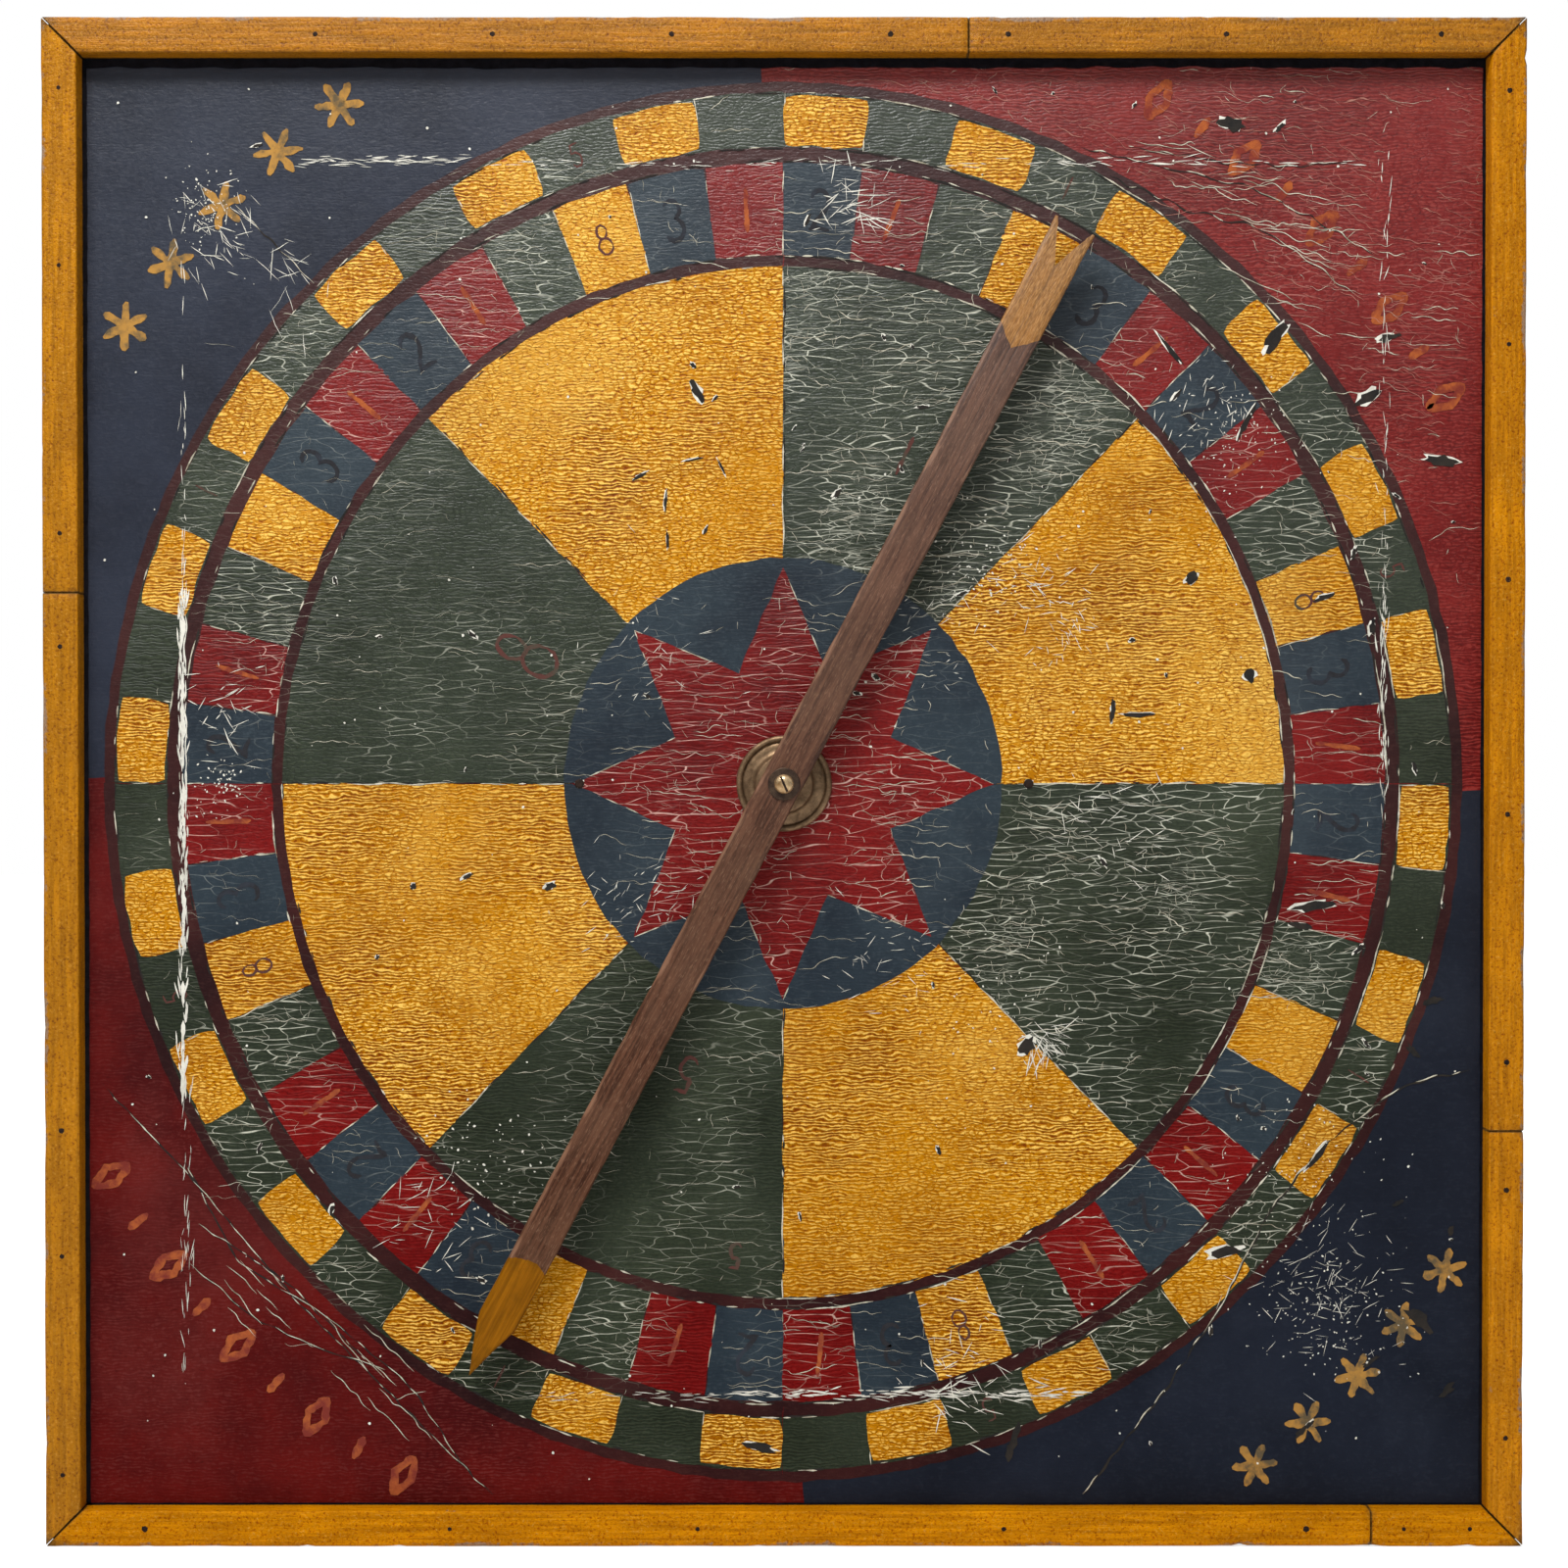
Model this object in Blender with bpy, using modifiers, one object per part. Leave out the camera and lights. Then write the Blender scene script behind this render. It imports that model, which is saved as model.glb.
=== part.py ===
"""Game spinner: a painted canvas dial on a wooden strainer, a raised frame and one long wooden arrow.

The board stands upright. +X is to the right and +Z is up for someone facing the dial, and the dial faces -Y.
The origin is on the wall plane, at the arrow's axis.
"""

import math

import bmesh
import bpy
from mathutils import Matrix, Vector

# Driving dimensions, in metres.
BOARD_WIDTH = 0.7874
BOARD_HEIGHT = 0.8128
GAP = 0.0003

# The strainer: five bars behind the canvas.
BAR_THICKNESS = 0.019
STILE_WIDTH = 0.073
RAIL_WIDTH = 0.076
PIVOT_RAIL_WIDTH = 0.089
STRAINER_INSET = 0.0015
LAP_NAIL_RADIUS = 0.0012
LAP_NAIL_HEAD_RADIUS = 0.0030
LAP_NAIL_HEAD_THICKNESS = 0.0008
LAP_NAIL_LENGTH = 0.016

# The canvas and the two nails that hold it to the pivot rail.
CANVAS_THICKNESS = 0.0010
CANVAS_INSET = 0.0008
CANVAS_NAIL_LEFT = 0.1095
CANVAS_NAIL_RIGHT = 0.1310
CANVAS_NAIL_RADIUS = 0.0012
CANVAS_NAIL_HEAD_RADIUS = 0.0026
CANVAS_NAIL_HEAD_HEIGHT = 0.0009
CANVAS_NAIL_LENGTH = 0.0150

# The raised frame: each side is two lengths, butted at a joint.
STRIP_FACE = 0.0190
STRIP_THICKNESS = 0.0127
STRIP_EDGE_ROUND = 0.0008
TOP_JOINT_X = 0.0978
BOTTOM_JOINT_X = 0.3128
LEFT_JOINT_Z = 0.1015
RIGHT_JOINT_Z = -0.1847
BRAD_RADIUS = 0.0009
BRAD_LENGTH = 0.0215
BRAD_SUNK = 0.0003

# The hub and the pivot, turned about the arrow's axis.
HUB_RADIUS = 0.0256
HUB_HEIGHT = 0.0095
HUB_SHEET = 0.0010
HUB_RIM_WIDTH = 0.0030
HUB_RIM_HEIGHT = 0.0034
HUB_BOSS_RADIUS = 0.0153
SLEEVE_WALL = 0.0018
LOWER_WASHER_RADIUS = 0.0078
LOWER_WASHER_THICKNESS = 0.0012
HEAD_WASHER_RADIUS = 0.0086
HEAD_WASHER_THICKNESS = 0.0008
SCREW_RADIUS = 0.0027
SCREW_CORE_RADIUS = 0.0019
SCREW_LENGTH = 0.0340
SCREW_THREAD_LENGTH = 0.0110
SCREW_THREAD_PITCH = 0.0022
SCREW_HEAD_RADIUS = 0.0052
SCREW_HEAD_HEIGHT = 0.0034
SCREW_SLOT_WIDTH = 0.0012
SCREW_SLOT_DEPTH = 0.0016
SCREW_SLOT_ANGLE = math.radians(24.0)

# The arrow: a whittled point at one end, a forked tail at the other.
ARROW_WIDTH = 0.0202
ARROW_THICKNESS = 0.0064
ARROW_FRAME_CLEARANCE = 0.0180
ARROW_TAIL_SHORTER = 0.0240
ARROW_POINT_LENGTH = 0.0340
ARROW_POINT_BELLY = 0.0012
ARROW_NOTCH_DEPTH = 0.0240
ARROW_PRONG_TIP = 0.0016
ARROW_HOLE_OFFSET = 0.0015
ARROW_EDGE_ROUND = 0.0007
ARROW_REST_ANGLE = math.radians(152.4)
EYELET_WALL = 0.0012

# The two screw eyes in the stiles, which the board hangs by.
EYE_RING_RADIUS = 0.0050
EYE_WIRE_RADIUS = 0.0012
EYE_SHANK_LENGTH = 0.0150
EYE_BELOW_RAIL = 0.0600

ROUND_SEGMENTS = 64
SMALL_SEGMENTS = 12

# Levels along the axis, measured outwards from the wall plane.
CANVAS_BACK = BAR_THICKNESS + GAP
CANVAS_FRONT = CANVAS_BACK + CANVAS_THICKNESS
STRIP_BACK = CANVAS_FRONT + GAP
STRIP_FRONT = STRIP_BACK + STRIP_THICKNESS
HUB_BACK = CANVAS_FRONT + GAP
HUB_FRONT = HUB_BACK + HUB_HEIGHT
LOWER_WASHER_BACK = HUB_FRONT + GAP
ARROW_BACK = LOWER_WASHER_BACK + LOWER_WASHER_THICKNESS + GAP
ARROW_FRONT = ARROW_BACK + ARROW_THICKNESS
HEAD_WASHER_BACK = ARROW_FRONT + GAP
SCREW_HEAD_BACK = HEAD_WASHER_BACK + HEAD_WASHER_THICKNESS + GAP

SCREW_BORE = SCREW_RADIUS + GAP
SLEEVE_RADIUS = SCREW_BORE + SLEEVE_WALL
EYELET_RADIUS = SCREW_BORE + EYELET_WALL
INNER_HALF = min(BOARD_WIDTH, BOARD_HEIGHT) / 2 - STRIP_FACE
ARROW_POINT_ARM = INNER_HALF - ARROW_FRAME_CLEARANCE
ARROW_TAIL_ARM = ARROW_POINT_ARM - ARROW_TAIL_SHORTER

# Each strip: side, whether it is the first or second length on that side, and its brads as shares of its length.
STRIPS = {
    "strip_top_left": ("top", "first", (0.296, 0.487, 0.680, 0.916)),
    "strip_top_right": ("top", "second", (0.070, 0.461, 0.846)),
    "strip_right_upper": ("right", "first", (0.066, 0.293, 0.504, 0.715, 0.938)),
    "strip_right_lower": ("right", "second", (0.141, 0.739)),
    "strip_bottom_left": ("bottom", "first", (0.075, 0.305, 0.492, 0.723, 0.951)),
    "strip_bottom_right": ("bottom", "second", (0.214, 0.650)),
    "strip_left_upper": ("left", "first", (0.123, 0.431, 0.897)),
    "strip_left_lower": ("left", "second", (0.056, 0.563, 0.695, 0.925)),
}


def clear_scene():
    for obj in list(bpy.data.objects):
        bpy.data.objects.remove(obj, do_unlink=True)


def new_collection(name):
    collection = bpy.data.collections.new(name)
    bpy.context.scene.collection.children.link(collection)
    return collection


def material(name, colour, roughness, metallic=0.0):
    result = bpy.data.materials.new(name)
    result.use_nodes = True
    result.diffuse_color = (*colour, 1.0)
    shader = result.node_tree.nodes["Principled BSDF"]
    shader.inputs["Base Color"].default_value = (*colour, 1.0)
    shader.inputs["Roughness"].default_value = roughness
    shader.inputs["Metallic"].default_value = metallic
    return result


def place(obj, collection, look=None):
    for old in list(obj.users_collection):
        old.objects.unlink(obj)
    collection.objects.link(obj)
    if look:
        obj.data.materials.append(look)
    return obj


def mesh_object(name, bm, collection, look=None):
    mesh = bpy.data.meshes.new(name)
    bm.to_mesh(mesh)
    bm.free()
    return place(bpy.data.objects.new(name, mesh), collection, look)


def box(name, low, high, collection, look=None):
    """A box between two corners."""
    size = Vector(high) - Vector(low)
    middle = (Vector(high) + Vector(low)) / 2
    bm = bmesh.new()
    bmesh.ops.create_cube(bm, size=1.0, matrix=Matrix.Translation(middle) @ Matrix.Diagonal((*size, 1.0)))
    return mesh_object(name, bm, collection, look)


def plate(name, outline, thickness, collection, look=None, edge_round=0.0):
    """A flat outline in the object's own XY plane, from Z 0 to its thickness, as a mesh."""
    curve = bpy.data.curves.new(name, "CURVE")
    curve.dimensions = "2D"
    curve.fill_mode = "BOTH"
    curve.extrude = thickness / 2
    spline = curve.splines.new("POLY")
    spline.points.add(len(outline) - 1)
    for point, (x, y) in zip(spline.points, outline):
        point.co = (x, y, 0.0, 1.0)
    spline.use_cyclic_u = True
    source = bpy.data.objects.new(name + "_outline", curve)
    bpy.context.scene.collection.objects.link(source)
    bpy.context.view_layer.update()
    evaluated = source.evaluated_get(bpy.context.evaluated_depsgraph_get())
    mesh = bpy.data.meshes.new_from_object(evaluated)
    bpy.data.objects.remove(source, do_unlink=True)
    bpy.data.curves.remove(curve)
    bm = bmesh.new()
    bm.from_mesh(mesh)
    bpy.data.meshes.remove(mesh)
    bmesh.ops.remove_doubles(bm, verts=bm.verts, dist=1e-6)
    bmesh.ops.translate(bm, verts=bm.verts, vec=(0.0, 0.0, thickness / 2))
    bmesh.ops.recalc_face_normals(bm, faces=bm.faces)
    obj = mesh_object(name, bm, collection, look)
    if edge_round:
        bevel = obj.modifiers.new("edges", "BEVEL")
        bevel.width = edge_round
        bevel.segments = 2
        bevel.limit_method = "ANGLE"
        bevel.angle_limit = math.radians(40.0)
    return obj


def pin(name, radius, length, back, collection, look=None, segments=SMALL_SEGMENTS, parent=None):
    """A plain cylinder along its own Z, from the level back outwards."""
    bm = bmesh.new()
    bmesh.ops.create_cone(bm, cap_ends=True, segments=segments, radius1=radius, radius2=radius, depth=length,
                          matrix=Matrix.Translation((0.0, 0.0, back + length / 2)))
    obj = mesh_object(name, bm, collection, look)
    obj.parent = parent
    return obj


def turned(name, profile, collection, look=None, segments=ROUND_SEGMENTS, closed=False, smooth=True):
    """A profile of (radius, height) points, running down the outer side, turned about the object's Z."""
    bm = bmesh.new()
    points = [bm.verts.new((radius, 0.0, height)) for radius, height in profile]
    for first, second in zip(points, points[1:]):
        bm.edges.new((first, second))
    if closed:
        bm.edges.new((points[-1], points[0]))
    obj = mesh_object(name, bm, collection, look)
    screw = obj.modifiers.new("turn", "SCREW")
    screw.axis = "Z"
    screw.steps = segments
    screw.render_steps = segments
    screw.use_merge_vertices = True
    screw.merge_threshold = 0.00001
    screw.use_smooth_shade = smooth
    return obj


def cut(target, cutter):
    """Take the cutter's shape out of the target."""
    boolean = target.modifiers.new("cut_" + cutter.name, "BOOLEAN")
    boolean.operation = "DIFFERENCE"
    boolean.solver = "EXACT"
    boolean.object = cutter
    cutter.hide_render = True
    cutter.display_type = "WIRE"


def join(target, other):
    """Add the other's shape to the target."""
    cut(target, other)
    target.modifiers[-1].operation = "UNION"


def joined_mesh(name, objects, collection):
    """One mesh made of copies of several plain meshes, in world space; the originals go."""
    bpy.context.view_layer.update()
    bm = bmesh.new()
    for obj in objects:
        piece = obj.data.copy()
        piece.transform(obj.matrix_world)
        bm.from_mesh(piece)
        bpy.data.meshes.remove(piece)
        bpy.data.objects.remove(obj, do_unlink=True)
    return mesh_object(name, bm, collection)


def lap_region(bar_low, bar_high, cross_low, cross_high, half):
    """The box where two bars cross, in the front or back half of their thickness, grown by the gap."""
    low = [max(a, b) - GAP for a, b in zip(bar_low, cross_low)]
    high = [min(a, b) + GAP for a, b in zip(bar_high, cross_high)]
    middle = -BAR_THICKNESS / 2
    if half == "front":
        low[1] = -BAR_THICKNESS - GAP
        high[1] = middle + GAP / 2
    else:
        low[1] = middle - GAP / 2
        high[1] = GAP
    return low, high


def make_strainer(parts, cutters, wood):
    """Two stiles and three rails: the stiles keep the front half of each lap, the rails the back half."""
    half_w = BOARD_WIDTH / 2 - STRAINER_INSET
    half_h = BOARD_HEIGHT / 2 - STRAINER_INSET
    half_rail = PIVOT_RAIL_WIDTH / 2
    stiles = {
        "stile_left": ((-half_w, -BAR_THICKNESS, -half_h), (-half_w + STILE_WIDTH, 0.0, half_h)),
        "stile_right": ((half_w - STILE_WIDTH, -BAR_THICKNESS, -half_h), (half_w, 0.0, half_h)),
    }
    rails = {
        "rail_top": ((-half_w, -BAR_THICKNESS, half_h - RAIL_WIDTH), (half_w, 0.0, half_h)),
        "pivot_rail": ((-half_w, -BAR_THICKNESS, -half_rail), (half_w, 0.0, half_rail)),
        "rail_bottom": ((-half_w, -BAR_THICKNESS, -half_h), (half_w, 0.0, -half_h + RAIL_WIDTH)),
    }
    bars = {}
    for name, (low, high) in {**stiles, **rails}.items():
        bars[name] = box(name, low, high, parts, wood)
    for stile_name, stile in stiles.items():
        for rail_name, rail in rails.items():
            low, high = lap_region(*stile, *rail, "back")
            cut(bars[stile_name], box(f"lap_{stile_name}_{rail_name}", low, high, cutters))
            low, high = lap_region(*stile, *rail, "front")
            cut(bars[rail_name], box(f"lap_{rail_name}_{stile_name}", low, high, cutters))
    return bars


def make_lap_nails(parts, cutters, bars, steel):
    """One nail through the middle of each lap, driven from the back, its head flush with the bar."""
    stile_x = BOARD_WIDTH / 2 - STRAINER_INSET - STILE_WIDTH / 2
    rail_z = BOARD_HEIGHT / 2 - STRAINER_INSET - RAIL_WIDTH / 2
    holes = []
    for side, x in (("left", -stile_x), ("right", stile_x)):
        for level, z in (("top", rail_z), ("middle", 0.0), ("bottom", -rail_z)):
            head = (LAP_NAIL_HEAD_RADIUS, LAP_NAIL_HEAD_THICKNESS)
            profile = [(0.0, 0.0), (head[0], 0.0), (head[0], -head[1]), (LAP_NAIL_RADIUS, -head[1]),
                       (LAP_NAIL_RADIUS, -LAP_NAIL_LENGTH + 0.002), (0.0, -LAP_NAIL_LENGTH)]
            nail = turned(f"lap_nail_{level}_{side}", profile, parts, steel, SMALL_SEGMENTS, smooth=False)
            nail.location = (x, 0.0, z)
            nail.rotation_euler = (math.radians(-90.0), 0.0, 0.0)
            depth = LAP_NAIL_LENGTH + GAP
            for part, radius, back in (("shank", LAP_NAIL_RADIUS, depth), ("head", head[0], head[1] + GAP)):
                hole = pin(f"hole_{level}_{side}_{part}", radius + GAP, back + GAP, -back, cutters)
                hole.location = nail.location
                hole.rotation_euler = nail.rotation_euler
                holes.append((hole, part))
    for wanted in ("shank", "head"):
        cutter = joined_mesh(f"lap_nail_{wanted}_holes", [hole for hole, part in holes if part == wanted], cutters)
        for bar in bars.values():
            cut(bar, cutter)


def make_canvas(parts, cutters, bars, cloth, steel, axis):
    half_w = BOARD_WIDTH / 2 - CANVAS_INSET
    half_h = BOARD_HEIGHT / 2 - CANVAS_INSET
    canvas = box("canvas", (-half_w, -CANVAS_FRONT, -half_h), (half_w, -CANVAS_BACK, half_h), parts, cloth)
    head_back = CANVAS_FRONT + GAP
    for side, x in (("left", -CANVAS_NAIL_LEFT), ("right", CANVAS_NAIL_RIGHT)):
        top = head_back + CANVAS_NAIL_HEAD_HEIGHT
        profile = [(0.0, top), (CANVAS_NAIL_HEAD_RADIUS * 0.7, top - CANVAS_NAIL_HEAD_HEIGHT * 0.2),
                   (CANVAS_NAIL_HEAD_RADIUS, head_back + CANVAS_NAIL_HEAD_HEIGHT * 0.2),
                   (CANVAS_NAIL_HEAD_RADIUS, head_back), (CANVAS_NAIL_RADIUS, head_back),
                   (CANVAS_NAIL_RADIUS, head_back - CANVAS_NAIL_LENGTH + 0.002),
                   (0.0, head_back - CANVAS_NAIL_LENGTH)]
        nail = turned(f"canvas_nail_{side}", profile, parts, steel, 20)
        nail.parent = axis
        nail.location = (x, 0.0, 0.0)
        length = CANVAS_NAIL_LENGTH + 2 * GAP
        hole = pin(f"canvas_nail_hole_{side}", CANVAS_NAIL_RADIUS + GAP, length, head_back + GAP - length,
                   cutters, parent=axis)
        hole.location = nail.location
        cut(canvas, hole)
        cut(bars["pivot_rail"], hole)
    return canvas


def strip_outline(side, length_half, joint, which):
    """The strip's outline on the wall, as (x, z) points, mitred at the corner and square at its joint.

    Along a side, s runs from the first corner to the second and d from the outer edge inwards.
    """
    pull = GAP / 2 * math.sqrt(2.0)
    if which == "first":
        local = [(-length_half + pull, 0.0), (joint - GAP / 2, 0.0), (joint - GAP / 2, STRIP_FACE),
                 (-length_half + STRIP_FACE + pull, STRIP_FACE)]
    else:
        local = [(joint + GAP / 2, 0.0), (length_half - pull, 0.0),
                 (length_half - STRIP_FACE - pull, STRIP_FACE), (joint + GAP / 2, STRIP_FACE)]
    half_w = BOARD_WIDTH / 2
    half_h = BOARD_HEIGHT / 2
    to_wall = {
        "top": lambda s, d: (s, half_h - d),
        "bottom": lambda s, d: (s, -half_h + d),
        "left": lambda s, d: (-half_w + d, -s),
        "right": lambda s, d: (half_w - d, -s),
    }[side]
    return [to_wall(s, d) for s, d in local], to_wall, [s for s, d in local if d == 0.0]


def make_frame(parts, cutters, axis, paint, steel):
    """Eight strips with their brads. Returns one cutter that holds every brad's hole."""
    joints = {"top": TOP_JOINT_X, "bottom": BOTTOM_JOINT_X, "left": -LEFT_JOINT_Z, "right": -RIGHT_JOINT_Z}
    halves = {"top": BOARD_WIDTH / 2, "bottom": BOARD_WIDTH / 2, "left": BOARD_HEIGHT / 2,
              "right": BOARD_HEIGHT / 2}
    strips = []
    holes = []
    brad_back = STRIP_FRONT - BRAD_SUNK - BRAD_LENGTH
    for name, (side, which, shares) in STRIPS.items():
        outline, to_wall, ends = strip_outline(side, halves[side], joints[side], which)
        strip = plate(name, outline, STRIP_THICKNESS, parts, paint, STRIP_EDGE_ROUND)
        strip.parent = axis
        strip.location = (0.0, 0.0, STRIP_BACK)
        strips.append(strip)
        start, end = min(ends), max(ends)
        for number, share in enumerate(shares, start=1):
            x, z = to_wall(start + (end - start) * share, STRIP_FACE / 2)
            brad = pin(name.replace("strip", "brad") + f"_{number}", BRAD_RADIUS, BRAD_LENGTH, brad_back,
                       parts, steel, 8, axis)
            brad.location = (x, z, 0.0)
            length = BRAD_LENGTH + BRAD_SUNK + 2 * GAP
            hole = pin(brad.name + "_hole", BRAD_RADIUS + GAP, length, brad_back - GAP, cutters, None, 8, axis)
            hole.location = brad.location
            holes.append(hole)
    cutter = joined_mesh("brad_holes", holes, cutters)
    for strip in strips:
        cut(strip, cutter)
    return cutter


def make_hub(parts, cutters, canvas, bars, axis, brass):
    """The pressed brass rosette, and the sleeve inside it that the screw clamps to the pivot rail."""
    rim_top = HUB_BACK + HUB_RIM_HEIGHT
    inner_rim = HUB_RADIUS - HUB_RIM_WIDTH
    boss = HUB_BOSS_RADIUS
    foot = rim_top - HUB_RIM_HEIGHT * 0.2
    outside = [(SCREW_BORE, HUB_FRONT), (boss - 0.0012, HUB_FRONT), (boss - 0.0003, HUB_FRONT - 0.0005),
               (boss, HUB_FRONT - 0.0014), (boss + 0.0006, foot + 0.0008), (boss + 0.0014, foot + 0.0002),
               (boss + 0.0026, foot), (inner_rim - 0.0006, foot), (inner_rim, foot + 0.0003)]
    middle = (HUB_RADIUS + inner_rim) / 2
    rim_radius = HUB_RIM_WIDTH / 2
    steps = 6
    for step in range(1, steps + 1):
        angle = math.pi * (1.0 - step / steps)
        outside.append((middle + rim_radius * math.cos(angle),
                        rim_top - rim_radius * (1.0 - math.sin(angle))))
    outside.append((HUB_RADIUS, HUB_BACK))
    sheet = HUB_SHEET
    inside = [(HUB_RADIUS - sheet, HUB_BACK), (HUB_RADIUS - sheet, rim_top - rim_radius),
              (middle, rim_top - sheet), (inner_rim + sheet * 0.6, foot - sheet * 0.8),
              (boss + 0.0020, foot - sheet), (boss - sheet + 0.0006, foot - sheet + 0.0006),
              (boss - sheet, HUB_FRONT - 0.0018), (boss - sheet - 0.0008, HUB_FRONT - sheet),
              (SCREW_BORE, HUB_FRONT - sheet)]
    rosette = turned("hub_rosette", outside + inside, parts, brass, closed=True)
    rosette.parent = axis

    sleeve_back = BAR_THICKNESS + GAP
    sleeve_front = HUB_FRONT - HUB_SHEET - GAP
    profile = [(SCREW_BORE, sleeve_front), (SLEEVE_RADIUS, sleeve_front), (SLEEVE_RADIUS, sleeve_back),
               (SCREW_BORE, sleeve_back)]
    sleeve = turned("hub_sleeve", profile, parts, brass, 32, closed=True)
    sleeve.parent = axis

    hole = pin("sleeve_hole", SLEEVE_RADIUS + GAP, CANVAS_THICKNESS + 2 * GAP, CANVAS_BACK - GAP, cutters,
               segments=32, parent=axis)
    cut(canvas, hole)
    depth = SCREW_LENGTH - (SCREW_HEAD_BACK - BAR_THICKNESS) + GAP
    pilot = pin("screw_pilot_hole", SCREW_RADIUS + GAP, depth + GAP, BAR_THICKNESS - depth, cutters,
                segments=24, parent=axis)
    cut(bars["pivot_rail"], pilot)


def make_washer(name, radius, thickness, back, parts, look, axis):
    rounding = thickness * 0.3
    profile = [(SCREW_BORE, back + thickness), (radius - rounding, back + thickness),
               (radius, back + thickness - rounding), (radius, back), (SCREW_BORE, back)]
    washer = turned(name, profile, parts, look, 48, closed=True)
    washer.parent = axis
    return washer


def make_screw(parts, cutters, axis, brass):
    """A round-head wood screw: domed slotted head, plain shank, and a threaded end as tapering ridges."""
    profile = [(0.0, SCREW_HEAD_BACK + SCREW_HEAD_HEIGHT)]
    steps = 7
    for step in range(1, steps + 1):
        angle = math.pi / 2 * step / steps
        profile.append((SCREW_HEAD_RADIUS * math.sin(angle),
                        SCREW_HEAD_BACK + SCREW_HEAD_HEIGHT * math.cos(angle)))
    tip = SCREW_HEAD_BACK - SCREW_LENGTH
    thread_start = tip + SCREW_THREAD_LENGTH
    profile.append((SCREW_RADIUS, SCREW_HEAD_BACK))
    profile.append((SCREW_RADIUS, thread_start))
    turns = int(SCREW_THREAD_LENGTH / SCREW_THREAD_PITCH)
    for turn in range(turns):
        level = thread_start - SCREW_THREAD_PITCH * turn
        taper = 1.0 - 0.55 * turn / turns
        profile.append((SCREW_CORE_RADIUS * taper, level - SCREW_THREAD_PITCH * 0.3))
        profile.append((SCREW_CORE_RADIUS * taper, level - SCREW_THREAD_PITCH * 0.7))
        profile.append((SCREW_RADIUS * taper, level - SCREW_THREAD_PITCH * 0.9))
    profile.append((0.0, tip))
    screw = turned("pivot_screw", profile, parts, brass, 32)
    screw.parent = axis
    top = SCREW_HEAD_BACK + SCREW_HEAD_HEIGHT
    slot = box("screw_slot", (-SCREW_SLOT_WIDTH / 2, -2 * SCREW_HEAD_RADIUS, top - SCREW_SLOT_DEPTH),
               (SCREW_SLOT_WIDTH / 2, 2 * SCREW_HEAD_RADIUS, top + SCREW_SLOT_DEPTH), cutters)
    slot.parent = axis
    slot.rotation_euler = (0.0, 0.0, SCREW_SLOT_ANGLE)
    cut(screw, slot)


def make_arrow(parts, cutters, axis, paint, brass):
    """The slat lies along its own Y, its point at +Y. Its hole is a little off its centre line."""
    half = ARROW_WIDTH / 2
    middle = ARROW_HOLE_OFFSET
    shoulder = ARROW_POINT_ARM - ARROW_POINT_LENGTH
    right = [(half, shoulder), (half * 0.5 + ARROW_POINT_BELLY, (shoulder + ARROW_POINT_ARM) / 2)]
    tail = [(-half, -ARROW_TAIL_ARM), (-half + ARROW_PRONG_TIP, -ARROW_TAIL_ARM),
            (0.0, -ARROW_TAIL_ARM + ARROW_NOTCH_DEPTH),
            (half - ARROW_PRONG_TIP, -ARROW_TAIL_ARM), (half, -ARROW_TAIL_ARM)]
    outline = right + [(0.0, ARROW_POINT_ARM)] + [(-x, y) for x, y in reversed(right)] + tail
    outline = [(x + middle, y) for x, y in outline]
    spin = bpy.data.objects.new("spinner_axis", None)
    parts.objects.link(spin)
    spin.parent = axis
    spin.rotation_euler = (0.0, 0.0, ARROW_REST_ANGLE)
    arrow = plate("arrow", outline, ARROW_THICKNESS, parts, paint, ARROW_EDGE_ROUND)
    arrow.parent = spin
    arrow.location = (0.0, 0.0, ARROW_BACK)
    hole = pin("arrow_hole", EYELET_RADIUS + GAP, ARROW_THICKNESS + 2 * GAP, ARROW_BACK - GAP, cutters,
               segments=32, parent=axis)
    cut(arrow, hole)
    profile = [(SCREW_BORE, ARROW_FRONT), (EYELET_RADIUS, ARROW_FRONT), (EYELET_RADIUS, ARROW_BACK),
               (SCREW_BORE, ARROW_BACK)]
    eyelet = turned("arrow_eyelet", profile, parts, brass, 32, closed=True)
    eyelet.parent = spin


def make_eyes(parts, cutters, bars, steel):
    """A screw eye in each stile's inner edge, its ring flat to the wall and within the bar's thickness."""
    inner_edge = BOARD_WIDTH / 2 - STRAINER_INSET - STILE_WIDTH
    level = BOARD_HEIGHT / 2 - STRAINER_INSET - RAIL_WIDTH - EYE_BELOW_RAIL
    ring_centre = inner_edge - EYE_RING_RADIUS - 2 * EYE_WIRE_RADIUS
    for side, sign in (("left", -1.0), ("right", 1.0)):
        bpy.ops.mesh.primitive_torus_add(major_radius=EYE_RING_RADIUS, minor_radius=EYE_WIRE_RADIUS,
                                         major_segments=24, minor_segments=8,
                                         location=(sign * ring_centre, -BAR_THICKNESS / 2, level),
                                         rotation=(math.radians(90.0), 0.0, 0.0))
        eye = bpy.context.object
        eye.name = f"hanging_eye_{side}"
        place(eye, parts, steel)
        eye.data.shade_smooth()
        shank = pin(f"eye_shank_{side}", EYE_WIRE_RADIUS * 0.9, EYE_SHANK_LENGTH, 0.0, cutters)
        shank.location = (sign * (ring_centre + EYE_RING_RADIUS), -BAR_THICKNESS / 2, level)
        shank.rotation_euler = (0.0, sign * math.radians(90.0), 0.0)
        join(eye, shank)
        hole = pin(f"eye_hole_{side}", EYE_WIRE_RADIUS + GAP, EYE_SHANK_LENGTH + GAP, 0.0, cutters)
        hole.location = shank.location
        hole.rotation_euler = shank.rotation_euler
        cut(bars[f"stile_{side}"], hole)


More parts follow.
